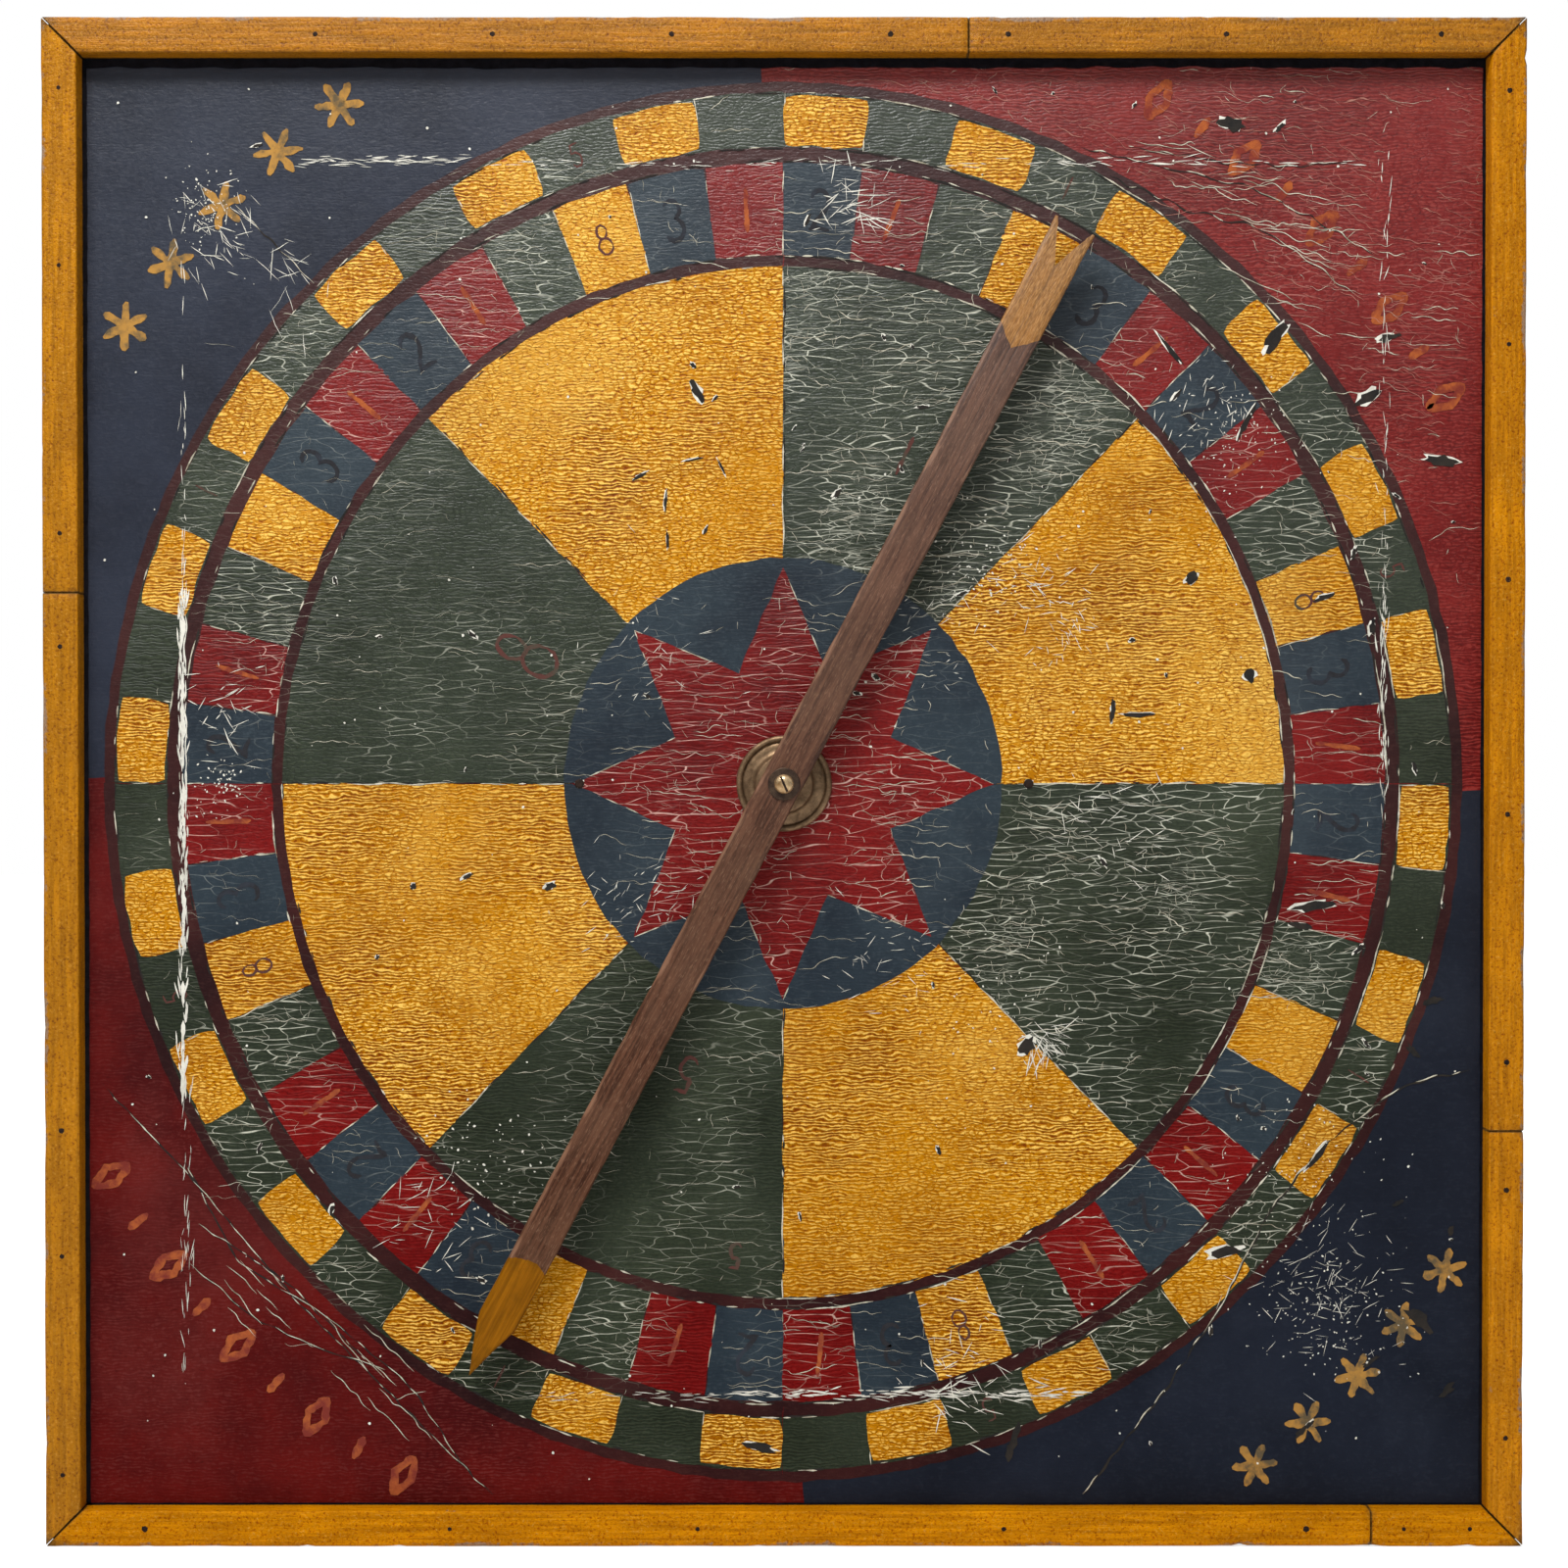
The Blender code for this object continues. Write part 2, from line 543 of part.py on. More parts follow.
def main():
    clear_scene()
    parts = new_collection("game_spinner")
    cutters = new_collection("cutters")
    axis = bpy.data.objects.new("dial_axis", None)
    parts.objects.link(axis)
    axis.rotation_euler = (math.radians(90.0), 0.0, 0.0)

    bare_pine = material("bare_pine", (0.36, 0.22, 0.11), 0.75)
    ochre_paint = material("ochre_paint", (0.52, 0.24, 0.02), 0.55)
    painted_canvas = material("painted_canvas", (0.10, 0.11, 0.09), 0.6)
    arrow_paint = material("arrow_paint", (0.09, 0.035, 0.028), 0.6)
    aged_brass = material("aged_brass", (0.16, 0.12, 0.06), 0.45, 1.0)
    bright_brass = material("bright_brass", (0.62, 0.52, 0.36), 0.35, 1.0)
    dark_steel = material("dark_steel", (0.05, 0.045, 0.04), 0.6, 1.0)

    bars = make_strainer(parts, cutters, bare_pine)
    make_lap_nails(parts, cutters, bars, dark_steel)
    canvas = make_canvas(parts, cutters, bars, painted_canvas, dark_steel, axis)
    brad_holes = make_frame(parts, cutters, axis, ochre_paint, dark_steel)
    cut(canvas, brad_holes)
    for name in ("stile_left", "stile_right", "rail_top", "rail_bottom"):
        cut(bars[name], brad_holes)
    make_hub(parts, cutters, canvas, bars, axis, aged_brass)
    make_washer("lower_washer", LOWER_WASHER_RADIUS, LOWER_WASHER_THICKNESS, LOWER_WASHER_BACK, parts,
                aged_brass, axis)
    make_arrow(parts, cutters, axis, arrow_paint, aged_brass)
    make_washer("head_washer", HEAD_WASHER_RADIUS, HEAD_WASHER_THICKNESS, HEAD_WASHER_BACK, parts,
                dark_steel, axis)
    make_screw(parts, cutters, axis, bright_brass)
    make_eyes(parts, cutters, bars, dark_steel)


main()
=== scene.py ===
import math

import bmesh
import bpy
import numpy as np
from mathutils import Matrix, Vector


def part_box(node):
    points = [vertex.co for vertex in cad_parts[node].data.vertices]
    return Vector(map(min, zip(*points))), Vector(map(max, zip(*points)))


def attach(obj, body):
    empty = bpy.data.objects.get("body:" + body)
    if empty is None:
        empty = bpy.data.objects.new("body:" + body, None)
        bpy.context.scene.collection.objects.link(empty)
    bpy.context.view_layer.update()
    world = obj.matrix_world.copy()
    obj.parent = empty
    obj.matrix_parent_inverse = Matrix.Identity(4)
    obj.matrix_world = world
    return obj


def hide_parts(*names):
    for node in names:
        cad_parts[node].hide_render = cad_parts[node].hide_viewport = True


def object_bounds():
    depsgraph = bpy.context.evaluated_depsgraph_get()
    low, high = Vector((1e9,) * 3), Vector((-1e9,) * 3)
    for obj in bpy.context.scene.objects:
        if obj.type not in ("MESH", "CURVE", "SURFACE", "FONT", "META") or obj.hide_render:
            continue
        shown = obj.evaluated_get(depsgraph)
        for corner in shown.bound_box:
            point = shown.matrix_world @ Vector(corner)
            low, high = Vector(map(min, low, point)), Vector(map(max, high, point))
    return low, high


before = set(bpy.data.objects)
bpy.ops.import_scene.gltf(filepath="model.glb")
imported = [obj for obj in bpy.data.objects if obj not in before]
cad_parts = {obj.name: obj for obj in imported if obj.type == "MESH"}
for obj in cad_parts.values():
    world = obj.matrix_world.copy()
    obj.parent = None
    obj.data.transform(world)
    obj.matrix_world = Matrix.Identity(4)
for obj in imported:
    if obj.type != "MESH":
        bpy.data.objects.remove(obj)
cad_low, cad_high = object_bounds()

# Places read from the CAD model. "out" is the distance from the wall plane towards the viewer.
CANVAS_LOW, CANVAS_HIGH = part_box("canvas")
TOP_STRIP_LOW, TOP_STRIP_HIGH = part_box("strip_top_left")
RIGHT_STRIP_LOW, RIGHT_STRIP_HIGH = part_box("strip_right_upper")
LEFT_STRIP_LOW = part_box("strip_left_upper")[0]
BOTTOM_STRIP_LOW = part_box("strip_bottom_left")[0]
HUB_LOW, HUB_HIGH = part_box("hub_rosette")
PAINT_ROOM = 0.0003
CLOTH_FRONT = -CANVAS_LOW.y - PAINT_ROOM
CLOTH_BACK = -CANVAS_HIGH.y
OPEN_X = RIGHT_STRIP_LOW.x
OPEN_Z = TOP_STRIP_LOW.z
STRIP_FACE = TOP_STRIP_HIGH.z - TOP_STRIP_LOW.z
STRIP_OUT = -TOP_STRIP_LOW.y
BAR_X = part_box("stile_right")[0].x
BAR_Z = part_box("rail_top")[0].z
HUB_RADIUS = HUB_HIGH.x

# The arrow's own frame, read from the CAD arrow: Y runs to its point and X across it.
ARROW_POINTS = [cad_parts["arrow"].matrix_world @ v.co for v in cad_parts["arrow"].data.vertices]
ARROW_TIP = max((Vector((p.x, p.z)) for p in ARROW_POINTS), key=lambda p: p.length)
ARROW_TURN = math.atan2(-ARROW_TIP.x, ARROW_TIP.y)
ARROW_ACROSS = [p.x * math.cos(ARROW_TURN) + p.z * math.sin(ARROW_TURN) for p in ARROW_POINTS]
ARROW_ALONG = [p.z * math.cos(ARROW_TURN) - p.x * math.sin(ARROW_TURN) for p in ARROW_POINTS]
ARROW_MIDDLE = (max(ARROW_ACROSS) + min(ARROW_ACROSS)) / 2
ARROW_HALF = (max(ARROW_ACROSS) - min(ARROW_ACROSS)) / 2
ARROW_TAIL = -min(ARROW_ALONG)
ARROW_BACK = -max(p.y for p in ARROW_POINTS)
ARROW_THICK = -min(p.y for p in ARROW_POINTS) - ARROW_BACK

# How deep the tail's notch is, where the point starts to narrow, and how far the bare wood reaches each way.
ARROW_NOTCH = 0.024
ARROW_SHOULDER = 0.323
POINT_PAINT = 0.2865
TAIL_PAINT = 0.2596

# The painted dial. Radii are measured sideways; the dial is a little taller than it is wide.
TALL = 1.031
OUTER_LINE = 0.3635
OUTER_BAND = 0.3580
OUTER_BAND_IN = 0.3300
MIDDLE_LINE_IN = 0.3232
INNER_BAND = 0.3218
INNER_BAND_IN = 0.2738
SECTOR_OUT = 0.2680
DISC_RADIUS = 0.1172
STAR_RADIUS = 0.1125
STAR_VALLEY = 0.0625
PAINT_IN = HUB_RADIUS * 0.6  # where the disc and star end, under the hub
CELLS = 48
CELL = 2 * math.pi / CELLS
CELL_GAP = 0.002
EIGHTH = math.pi / 4
DIAL_CENTRE = (-0.0005, 0.0)
OCTANT_COLOURS = ("blue", "red", "green", "yellow", "blue", "red")
SECTOR_COLOURS = ("green", "yellow")

# Layers of paint, one over another, measured out from the cloth's front.
LAYER = 0.00005
GROUND, LINES, BANDS, CELLS_ON_BAND, STAR, NUMERALS, CRACKS, SCUFFS = (LAYER * n for n in range(1, 9))

# The cloth is a little thicker than the CAD's, and the strips reach a little further back. Both close the
# CAD's clearances, so that no light shows between the pieces from the side.
CLOTH_EXTRA = 0.00025
STRIP_SEAT = -0.00045

GRID = 0.0040  # spacing of the points in the cloth and in each patch of paint
rng = np.random.default_rng(7)


# ---------------------------------------------------------------- shared helpers

def waves(x, z, length, seed, count=9):
    """A smooth random field of about -1 to 1 whose bumps are about length apart."""
    draw = np.random.default_rng(seed)
    total = np.zeros(np.broadcast(x, z).shape)
    for _ in range(count):
        angle = draw.uniform(0, 2 * math.pi)
        size = 2 * math.pi / (length * draw.uniform(0.7, 1.6))
        total += np.sin(size * (x * math.cos(angle) + z * math.sin(angle)) + draw.uniform(0, 6.28))
    return total / math.sqrt(count * 0.5) * 0.6


def swell(x, z):
    """How far the stretched cloth stands out from flat: slack bulges, and ridges over the bars' edges."""
    x = np.asarray(x, float)
    z = np.asarray(z, float)
    edge = np.minimum(OPEN_X - np.abs(x), OPEN_Z - np.abs(z))
    fade = np.clip(edge / 0.012, 0, 1)
    hub = np.clip((np.hypot(x, z) - HUB_RADIUS) / 0.03, 0, 1)
    slack = 0.00022 * (waves(x, z, 0.16, 11) + 0.6 * waves(x, z, 0.06, 12) + 1.2)
    ridge = np.exp(-((np.abs(x) - BAR_X) / 0.009) ** 2) + np.exp(-((np.abs(z) - BAR_Z) / 0.009) ** 2)
    return np.maximum(fade * hub * (slack + 0.00020 * ridge), 0.0)


def at(x, z, layer):
    """Points on the cloth at a paint layer, as rows of (x, y, z)."""
    x, z = np.broadcast_arrays(np.asarray(x, float), np.asarray(z, float))
    return np.stack([x, -(CLOTH_FRONT + layer + swell(x, z)), z], axis=-1)


def polar(radius, angle):
    """The dial's own polar grid: angle runs clockwise from the top."""
    return DIAL_CENTRE[0] + radius * np.sin(angle), DIAL_CENTRE[1] + TALL * radius * np.cos(angle)


def arc(centre, radii, first, last, count=10):
    """Points along part of an ellipse; angles in degrees, anticlockwise from the right."""
    turn = np.radians(np.linspace(first, last, count))
    return [(centre[0] + radii[0] * math.cos(t), centre[1] + radii[1] * math.sin(t)) for t in turn]


def new_object(name, verts, faces, look, body="board", slot="painted_canvas"):
    """A smooth-shaded mesh that rides on a body of the frame."""
    mesh = bpy.data.meshes.new(name)
    mesh.from_pydata([tuple(v) for v in verts], [], faces)
    mesh.validate()
    obj = bpy.data.objects.new(name, mesh)
    bpy.context.scene.collection.objects.link(obj)
    mesh.materials.append(look)
    mesh.shade_smooth()
    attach(obj, body)
    return obj


def set_attribute(obj, name, values):
    layer = obj.data.attributes.new(name, "FLOAT", "POINT")
    layer.data.foreach_set("value", np.asarray(values, float))


def set_cracked(obj):
    """Records on the mesh how badly its paint is cracked."""
    places = np.array([(v.co.x, v.co.z) for v in obj.data.vertices])
    set_attribute(obj, "cracked", crack_density(places[:, 0], places[:, 1]))


def grid_faces(rows, columns, start=0, flip=False):
    """Faces between the points of a grid; start is the number of its first point."""
    faces = []
    for r in range(rows - 1):
        for c in range(columns - 1):
            a = start + r * columns + c
            face = (a, a + 1, a + columns + 1, a + columns)
            faces.append(face[::-1] if flip else face)
    return faces


def tube_faces(rows, columns, start=0):
    """The same for a grid whose last column joins its first."""
    faces = []
    for r in range(rows - 1):
        for c in range(columns):
            a = start + r * columns + c
            b = start + r * columns + (c + 1) % columns
            faces.append((a, b, b + columns, a + columns))
    return faces


def fix_normals(obj, weld=0.0):
    """Turns all faces outwards, and joins points that are closer than weld."""
    work = bmesh.new()
    work.from_mesh(obj.data)
    if weld:
        bmesh.ops.remove_doubles(work, verts=work.verts, dist=weld)
    bmesh.ops.recalc_face_normals(work, faces=work.faces)
    work.to_mesh(obj.data)
    work.free()


def soften(obj, width, segments, degrees):
    """Rounds the edges that are sharper than an angle."""
    bevel = obj.modifiers.new("soft_edges", "BEVEL")
    bevel.width = width
    bevel.segments = segments
    bevel.limit_method = "ANGLE"
    bevel.angle_limit = math.radians(degrees)


class Sheet:
    """Collects gridded patches of one paint colour into one mesh."""

    def __init__(self):
        self.verts = []
        self.faces = []

    def add(self, points):
        rows, columns = points.shape[:2]
        self.faces += grid_faces(rows, columns, len(self.verts))
        self.verts += list(points.reshape(-1, 3))

    def make(self, name, look):
        set_cracked(new_object(name, self.verts, self.faces, look))


def polar_patch(r_in, r_out, a_in, a_out, layer, seed=0, wobble=0.0004, corner=0.0):
    """A brushed patch between two radii and two angles, with hand-drawn edges and eased corners."""
    middle = (r_in + r_out) / 2
    columns = max(3, int((a_out - a_in) * middle / GRID) + 2)
    rows = max(3, int((r_out - r_in) / GRID) + 2)
    u = np.linspace(-1, 1, columns)[None, :]
    v = np.linspace(-1, 1, rows)[:, None]
    pull = 1 - corner * (np.abs(u) ** 5) * (np.abs(v) ** 5)
    radius = middle + v * pull * (r_out - r_in) / 2
    angle = (a_in + a_out) / 2 + u * pull * (a_out - a_in) / 2
    x, z = polar(radius, angle)
    edge = np.maximum(np.abs(u), np.abs(v)) ** 8
    x = x + wobble * edge * waves(x, z, 0.018, 100 + seed)
    z = z + wobble * edge * waves(x, z, 0.018, 200 + seed)
    return at(x, z, layer)


def ribbons(strands, layer):
    """Flat ribbons along strands. A strand is (points as rows of x and z, width at each point)."""
    edges = []
    faces = []
    start = 0
    for points, width in strands:
        along = np.gradient(points, axis=0)
        along /= np.maximum(np.linalg.norm(along, axis=1, keepdims=True), 1e-9)
        side = np.stack([-along[:, 1], along[:, 0]], axis=1) * np.asarray(width)[:, None] / 2
        edges.append(np.stack([points + side, points - side], axis=1).reshape(-1, 2))
        faces += [(k, k + 2, k + 3, k + 1) for k in range(start, start + 2 * len(points) - 2, 2)]
        start += 2 * len(points)
    flat = np.concatenate(edges)
    return at(flat[:, 0], flat[:, 1], layer), faces


# ---------------------------------------------------------------- materials

def srgb(red, green, blue):
    """A colour given as screen values of 0 to 255, in linear light."""
    values = []
    for value in (red, green, blue):
        value /= 255
        values.append(value / 12.92 if value <= 0.04045 else ((value + 0.055) / 1.055) ** 2.4)
    return (*values, 1.0)


class Nodes:
    """Short names for building a material's node tree."""

    def __init__(self, name, roughness=0.6, metallic=0.0, specular=0.25):
        self.material = bpy.data.materials.new(name)
        self.material.use_nodes = True
        self.tree = self.material.node_tree
        self.shader = self.tree.nodes["Principled BSDF"]
        self.shader.inputs["Roughness"].default_value = roughness
        self.shader.inputs["Metallic"].default_value = metallic
        self.shader.inputs["Specular IOR Level"].default_value = specular

    def node(self, kind, **settings):
        node = self.tree.nodes.new("ShaderNode" + kind)
        for key, value in settings.items():
            setattr(node, key, value)
        return node

    def link(self, source, target):
        self.tree.links.new(source, target)

    def put(self, value, socket):
        """Links another node's output to the socket, or sets the socket to a plain value."""
        if isinstance(value, bpy.types.NodeSocket):
            self.link(value, socket)
        else:
            socket.default_value = value

    def texture(self, kind, vector, inputs, **settings):
        """A texture node read at the vector."""
        node = self.node("Tex" + kind, **settings)
        for name, value in inputs.items():
            node.inputs[name].default_value = value
        self.link(vector, node.inputs["Vector"])
        return node

    def coords(self, scale=(1, 1, 1)):
        mapping = self.node("Mapping")
        mapping.inputs["Scale"].default_value = scale
        self.link(self.node("TexCoord").outputs["Object"], mapping.inputs["Vector"])
        return mapping.outputs["Vector"]

    def axes(self, vector=None):
        """The vector's parts by name, or those of the place on the object."""
        node = self.node("SeparateXYZ")
        self.link(vector or self.node("TexCoord").outputs["Object"], node.inputs[0])
        return node.outputs

    def noise(self, vector, scale, detail=4.0, roughness=0.55, distortion=0.0):
        inputs = {"Scale": scale, "Detail": detail, "Roughness": roughness, "Distortion": distortion}
        return self.texture("Noise", vector, inputs).outputs["Fac"]

    def bands(self, vector, direction, inputs):
        node = self.texture("Wave", vector, inputs, wave_type="BANDS", bands_direction=direction)
        return node.outputs["Fac"]

    def shifted(self, vector, scale, amount, detail=3.0):
        """The vector pushed about by noise, so that lines read from it wander."""
        push = self.texture("Noise", vector, {"Scale": scale, "Detail": detail}).outputs["Color"]
        scaled = self.node("VectorMath", operation="SCALE")
        self.link(self.vector_math("SUBTRACT", push, (0.5, 0.5, 0.5)), scaled.inputs[0])
        scaled.inputs["Scale"].default_value = amount
        return self.vector_math("ADD", vector, scaled.outputs[0])

    def ripples(self, pitch, stray, stretch=0.5):
        """Fine sideways wrinkles, pitch apart, that wander, fork and break off."""
        inputs = {"Scale": math.pi / 10 / pitch, "Distortion": stray, "Detail": 3.0, "Detail Scale": 1.3}
        return self.bands(self.coords((stretch, 1.0, 1.0)), "Z", inputs)

    def vector_math(self, operation, first, second=(0, 0, 0)):
        node = self.node("VectorMath", operation=operation)
        self.put(first, node.inputs[0])
        self.put(second, node.inputs[1])
        return node.outputs["Value" if operation == "LENGTH" else "Vector"]

    def net(self, size, stretch, stray, swing=130.0):
        """Distance in millimetres from a net of lines round cells of this size, drawn out sideways."""
        axes = self.axes(self.shifted(self.coords((stretch, 1.0, 1.0)), swing, stray, 1.0))
        flat = self.node("CombineXYZ")
        self.link(axes["X"], flat.inputs["X"])
        self.link(axes["Z"], flat.inputs["Y"])
        edge, nearest, second = (
            self.texture("Voronoi", flat.outputs[0], {"Scale": 1 / size}, feature=feature,
                         voronoi_dimensions="2D").outputs[output]
            for feature, output in (("DISTANCE_TO_EDGE", "Distance"), ("F1", "Position"),
                                    ("F2", "Position")))
        # Drawing the net out thickens its steep lines. Dividing by the slope across each line evens them.
        across = self.vector_math("NORMALIZE", self.vector_math("SUBTRACT", second, nearest))
        slope = self.vector_math("LENGTH", self.vector_math("MULTIPLY", across, (stretch, 1.0, 0.0)))
        return self.times(self.math("DIVIDE", edge, slope), 1000 * size)

    def polish(self, axis, dull_end, bright_end, least, most):
        """Specular level that rises towards one end of the piece, where the old varnish is still whole."""
        place = self.node("MapRange")
        place.inputs["From Min"].default_value = dull_end
        place.inputs["From Max"].default_value = bright_end
        self.link(self.axes()[axis], place.inputs["Value"])
        level = self.times(self.math("POWER", place.outputs["Result"], 2.3), most)
        self.link(self.plus(level, least), self.shader.inputs["Specular IOR Level"])

    def attribute(self, name):
        return self.node("Attribute", attribute_name=name).outputs["Fac"]

    def ramp(self, value, stops):
        node = self.node("ValToRGB")
        ramp = node.color_ramp
        while len(ramp.elements) < len(stops):
            ramp.elements.new(0.5)
        for element, (place, level) in zip(ramp.elements, stops):
            element.position = place
            element.color = (level, level, level, 1)
        self.link(value, node.inputs["Fac"])
        return node.outputs["Color"]

    def rise(self, value, low, high, most=1.0):
        """From 0 where the value is under low to most where it is over high."""
        return self.ramp(value, [(low, 0.0), (high, most)])

    def fall(self, value, low, high, most=1.0):
        """From most where the value is under low to 0 where it is over high."""
        return self.ramp(value, [(low, most), (high, 0.0)])

    def mix(self, factor, first, second, blend="MIX"):
        node = self.node("Mix", data_type="RGBA", blend_type=blend)
        self.put(factor, node.inputs["Factor"])
        self.put(first, node.inputs["A"])
        self.put(second, node.inputs["B"])
        return node.outputs["Result"]

    def math(self, operation, first, second=0.5):
        node = self.node("Math", operation=operation)
        self.put(first, node.inputs[0])
        self.put(second, node.inputs[1])
        return node.outputs[0]

    def plus(self, first, second):
        return self.math("ADD", first, second)

    def minus(self, first, second):
        return self.math("SUBTRACT", first, second)

    def times(self, first, second):
        return self.math("MULTIPLY", first, second)

    def around(self, value, amount):
        """The value, which is about 0.5, as a push of about 0 either way."""
        return self.times(self.minus(value, 0.5), amount)

    def bump(self, height, distance, strength=1.0, below=None):
        node = self.node("Bump")
        node.inputs["Strength"].default_value = strength
        node.inputs["Distance"].default_value = distance
        self.link(height, node.inputs["Height"])
        if below is not None:
            self.link(below, node.inputs["Normal"])
        return node.outputs["Normal"]

    def finish(self, colour, roughness=None, normal=None):
        self.link(colour, self.shader.inputs["Base Color"])
        if roughness is not None:
            self.link(roughness, self.shader.inputs["Roughness"])
        if normal is not None:
            self.link(normal, self.shader.inputs["Normal"])
        return self.material


def grey(value):
    return (value, value, value, 1.0)


def paint(name, colour, dark, pale, wrinkle_highlight_and_shade=0.5, veins=0.5, crack=srgb(196, 194, 174), relief=0.7, shine=1.0,
          ripple=0.75, net_size=0.0040, net_stretch=0.30):
    """Old oil paint on cloth: fine sideways wrinkles, worn and dirty patches, and a net of hair cracks.

    The net shows where the mesh's "cracked" attribute is high. Ripple says how much of the relief is
    wrinkles; the rest is the pebbly mark of a dabbing brush.
    """
    n = Nodes(name)
    n.polish("Z", -OPEN_Z, OPEN_Z, 0.04, 0.55 * shine)
    grain = n.noise(n.coords(), 520.0, 3.0)
    pebbles = n.noise(n.shifted(n.coords((0.62, 1.0, 1.0)), 120.0, 0.006), 380.0, 2.0)
    wrinkles = n.times(n.ripples(0.0019, 10.0), ripple)
    where_leathery = n.rise(n.noise(n.coords(), 13.0, 2.0), 0.40, 0.58)
    leather = n.rise(n.net(0.0021, 0.50, 0.0050, 160.0), 0.05, 0.60, ripple)
    wrinkles = n.mix(n.times(where_leathery, 0.55), wrinkles, leather)
    rise = n.plus(wrinkles, n.times(pebbles, 1.25 * (1 - ripple)))
    rise = n.plus(rise, n.around(grain, 0.9))
    crease = n.fall(rise, 0.10, 0.38)
    crest = n.rise(rise, 0.62, 0.88)
    patches = n.noise(n.coords(), 14.0, 5.0, 0.6)
    worn = n.noise(n.coords(), 6.0, 6.0, 0.65, 0.4)
    where_rough = n.ramp(n.noise(n.coords(), 9.0, 3.0), [(0.36, 0.55), (0.58, 1.0)])
    tone = n.mix(n.rise(patches, 0.34, 0.60), dark, colour)
    tone = n.mix(n.times(n.rise(worn, 0.50, 0.78), 0.40), tone, pale)
    # Wrinkle crests are lightened towards the pale colour and creases darkened: painted highlight and
    # painted shade that follow the same relief as the bump.
    tone = n.mix(n.times(n.times(crest, where_rough), 0.8 * wrinkle_highlight_and_shade), tone, pale)
    tone = n.mix(n.times(n.times(crease, where_rough), wrinkle_highlight_and_shade), tone,
                 n.mix(0.9, tone, dark, "MULTIPLY"))
    cracked = n.plus(n.attribute("cracked"), n.around(patches, 0.5))
    wide_net = n.fall(n.net(net_size, net_stretch, 0.0085, 105.0), 0.08, 0.28)
    close_net = n.fall(n.net(net_size * 0.6, net_stretch * 1.5, 0.0070, 150.0), 0.06, 0.22)
    net = n.times(wide_net, n.rise(cracked, 0.12, 0.60))
    net = n.math("MAXIMUM", net, n.times(close_net, n.rise(cracked, 0.80, 1.20, 0.55)))
    net = n.times(net, n.ramp(n.noise(n.coords(), 90.0, 2.0), [(0.36, 0.12), (0.60, 1.0)]))
    tone = n.mix(n.times(net, veins), tone, crack)
    rough = n.ramp(grain, [(0.3, 0.36), (0.8, 0.54)])
    normal = n.bump(rise, 0.0005 * relief, 0.8)
    normal = n.bump(patches, 0.0008, 0.4, normal)
    return n.finish(tone, rough, normal)


def simple_wear(name, colour, other, scale, roughness=0.6, metallic=0.0, spread=(0.4, 0.65), specular=0.3):
    """One colour broken by another in streaks or patches, with a matching bump."""
    n = Nodes(name, roughness, metallic, specular)
    pattern = n.noise(n.coords(), scale, 6.0, 0.65)
    fine = n.noise(n.coords(), scale * 6, 3.0)
    tone = n.mix(n.rise(pattern, *spread), colour, other)
    tone = n.mix(n.times(n.rise(fine, 0.4, 0.8), 0.35), tone, other)
    rough = n.ramp(pattern, [(0.3, roughness - 0.1), (0.8, min(roughness + 0.15, 1.0))])
    return n.finish(tone, rough, n.bump(fine, 0.0002, 0.6))


LOOKS = {
    "yellow": paint("yellow_paint", srgb(195, 127, 4), srgb(164, 99, 0), srgb(255, 208, 100), 1.15, 0.25,
                    srgb(240, 200, 110), relief=1.6, shine=0.28),
    "green": paint("green_paint", srgb(47, 54, 42), srgb(36, 42, 30), srgb(76, 84, 64), 0.35, 1.0,
                   srgb(204, 204, 186), shine=1.2, net_stretch=0.24),
    "red": paint("red_paint", srgb(119, 14, 13), srgb(91, 6, 7), srgb(144, 42, 38), 0.40, 0.90,
                 srgb(218, 176, 162), net_size=0.0054, net_stretch=0.20),
    "blue": paint("blue_paint", srgb(45, 56, 64), srgb(31, 39, 48), srgb(80, 90, 96), 0.30, 0.40,
                  srgb(160, 164, 158), ripple=0.30, net_size=0.0064),
    # The corner fields are lighter and darker copies of two paints: the top-left blue and top-right red are
    # lighter, the bottom-right blue and bottom-left red darker. The darkening of the lower copies is painted
    # shade, for less light reaching the bottom of the board.
    "field_blue_low_shaded": paint("field_blue_low_shaded_paint", srgb(30, 35, 47), srgb(23, 27, 37), srgb(48, 53, 64), 0.3, 0.15, relief=0.4,
                  ripple=0.15),
    "field_blue": paint("field_blue_paint", srgb(42, 47, 60), srgb(33, 37, 48), srgb(60, 64, 76), 0.30, 0.20,
                        relief=0.45, shine=0.78, ripple=0.15),
    "field_red_top": paint("field_red_top_paint", srgb(118, 20, 18), srgb(98, 13, 12), srgb(160, 66, 58),
                           0.55, 0.60, srgb(196, 138, 126), relief=0.5),
    "field_red_low": paint("field_red_low_paint", srgb(96, 18, 16), srgb(70, 13, 14), srgb(118, 56, 52),
                           0.45, 0.20, relief=0.5, ripple=0.4),
    "maroon": paint("maroon_paint", srgb(60, 28, 27), srgb(40, 18, 19), srgb(92, 60, 54), 0.20, 0.40,
                    ripple=0.2),
}
CRACK_LOOK = simple_wear("bared_ground", srgb(214, 208, 188), srgb(132, 126, 106), 90.0, 0.8,
                         spread=(0.44, 0.66))
SCUFF_LOOK = simple_wear("rubbed_ground", srgb(232, 229, 216), srgb(166, 162, 148), 60.0, 0.8,
                         spread=(0.5, 0.8))
FINE_LOOK = simple_wear("fine_cracks", srgb(176, 120, 106), srgb(120, 56, 50), 60.0, 0.8,
                        spread=(0.45, 0.75))
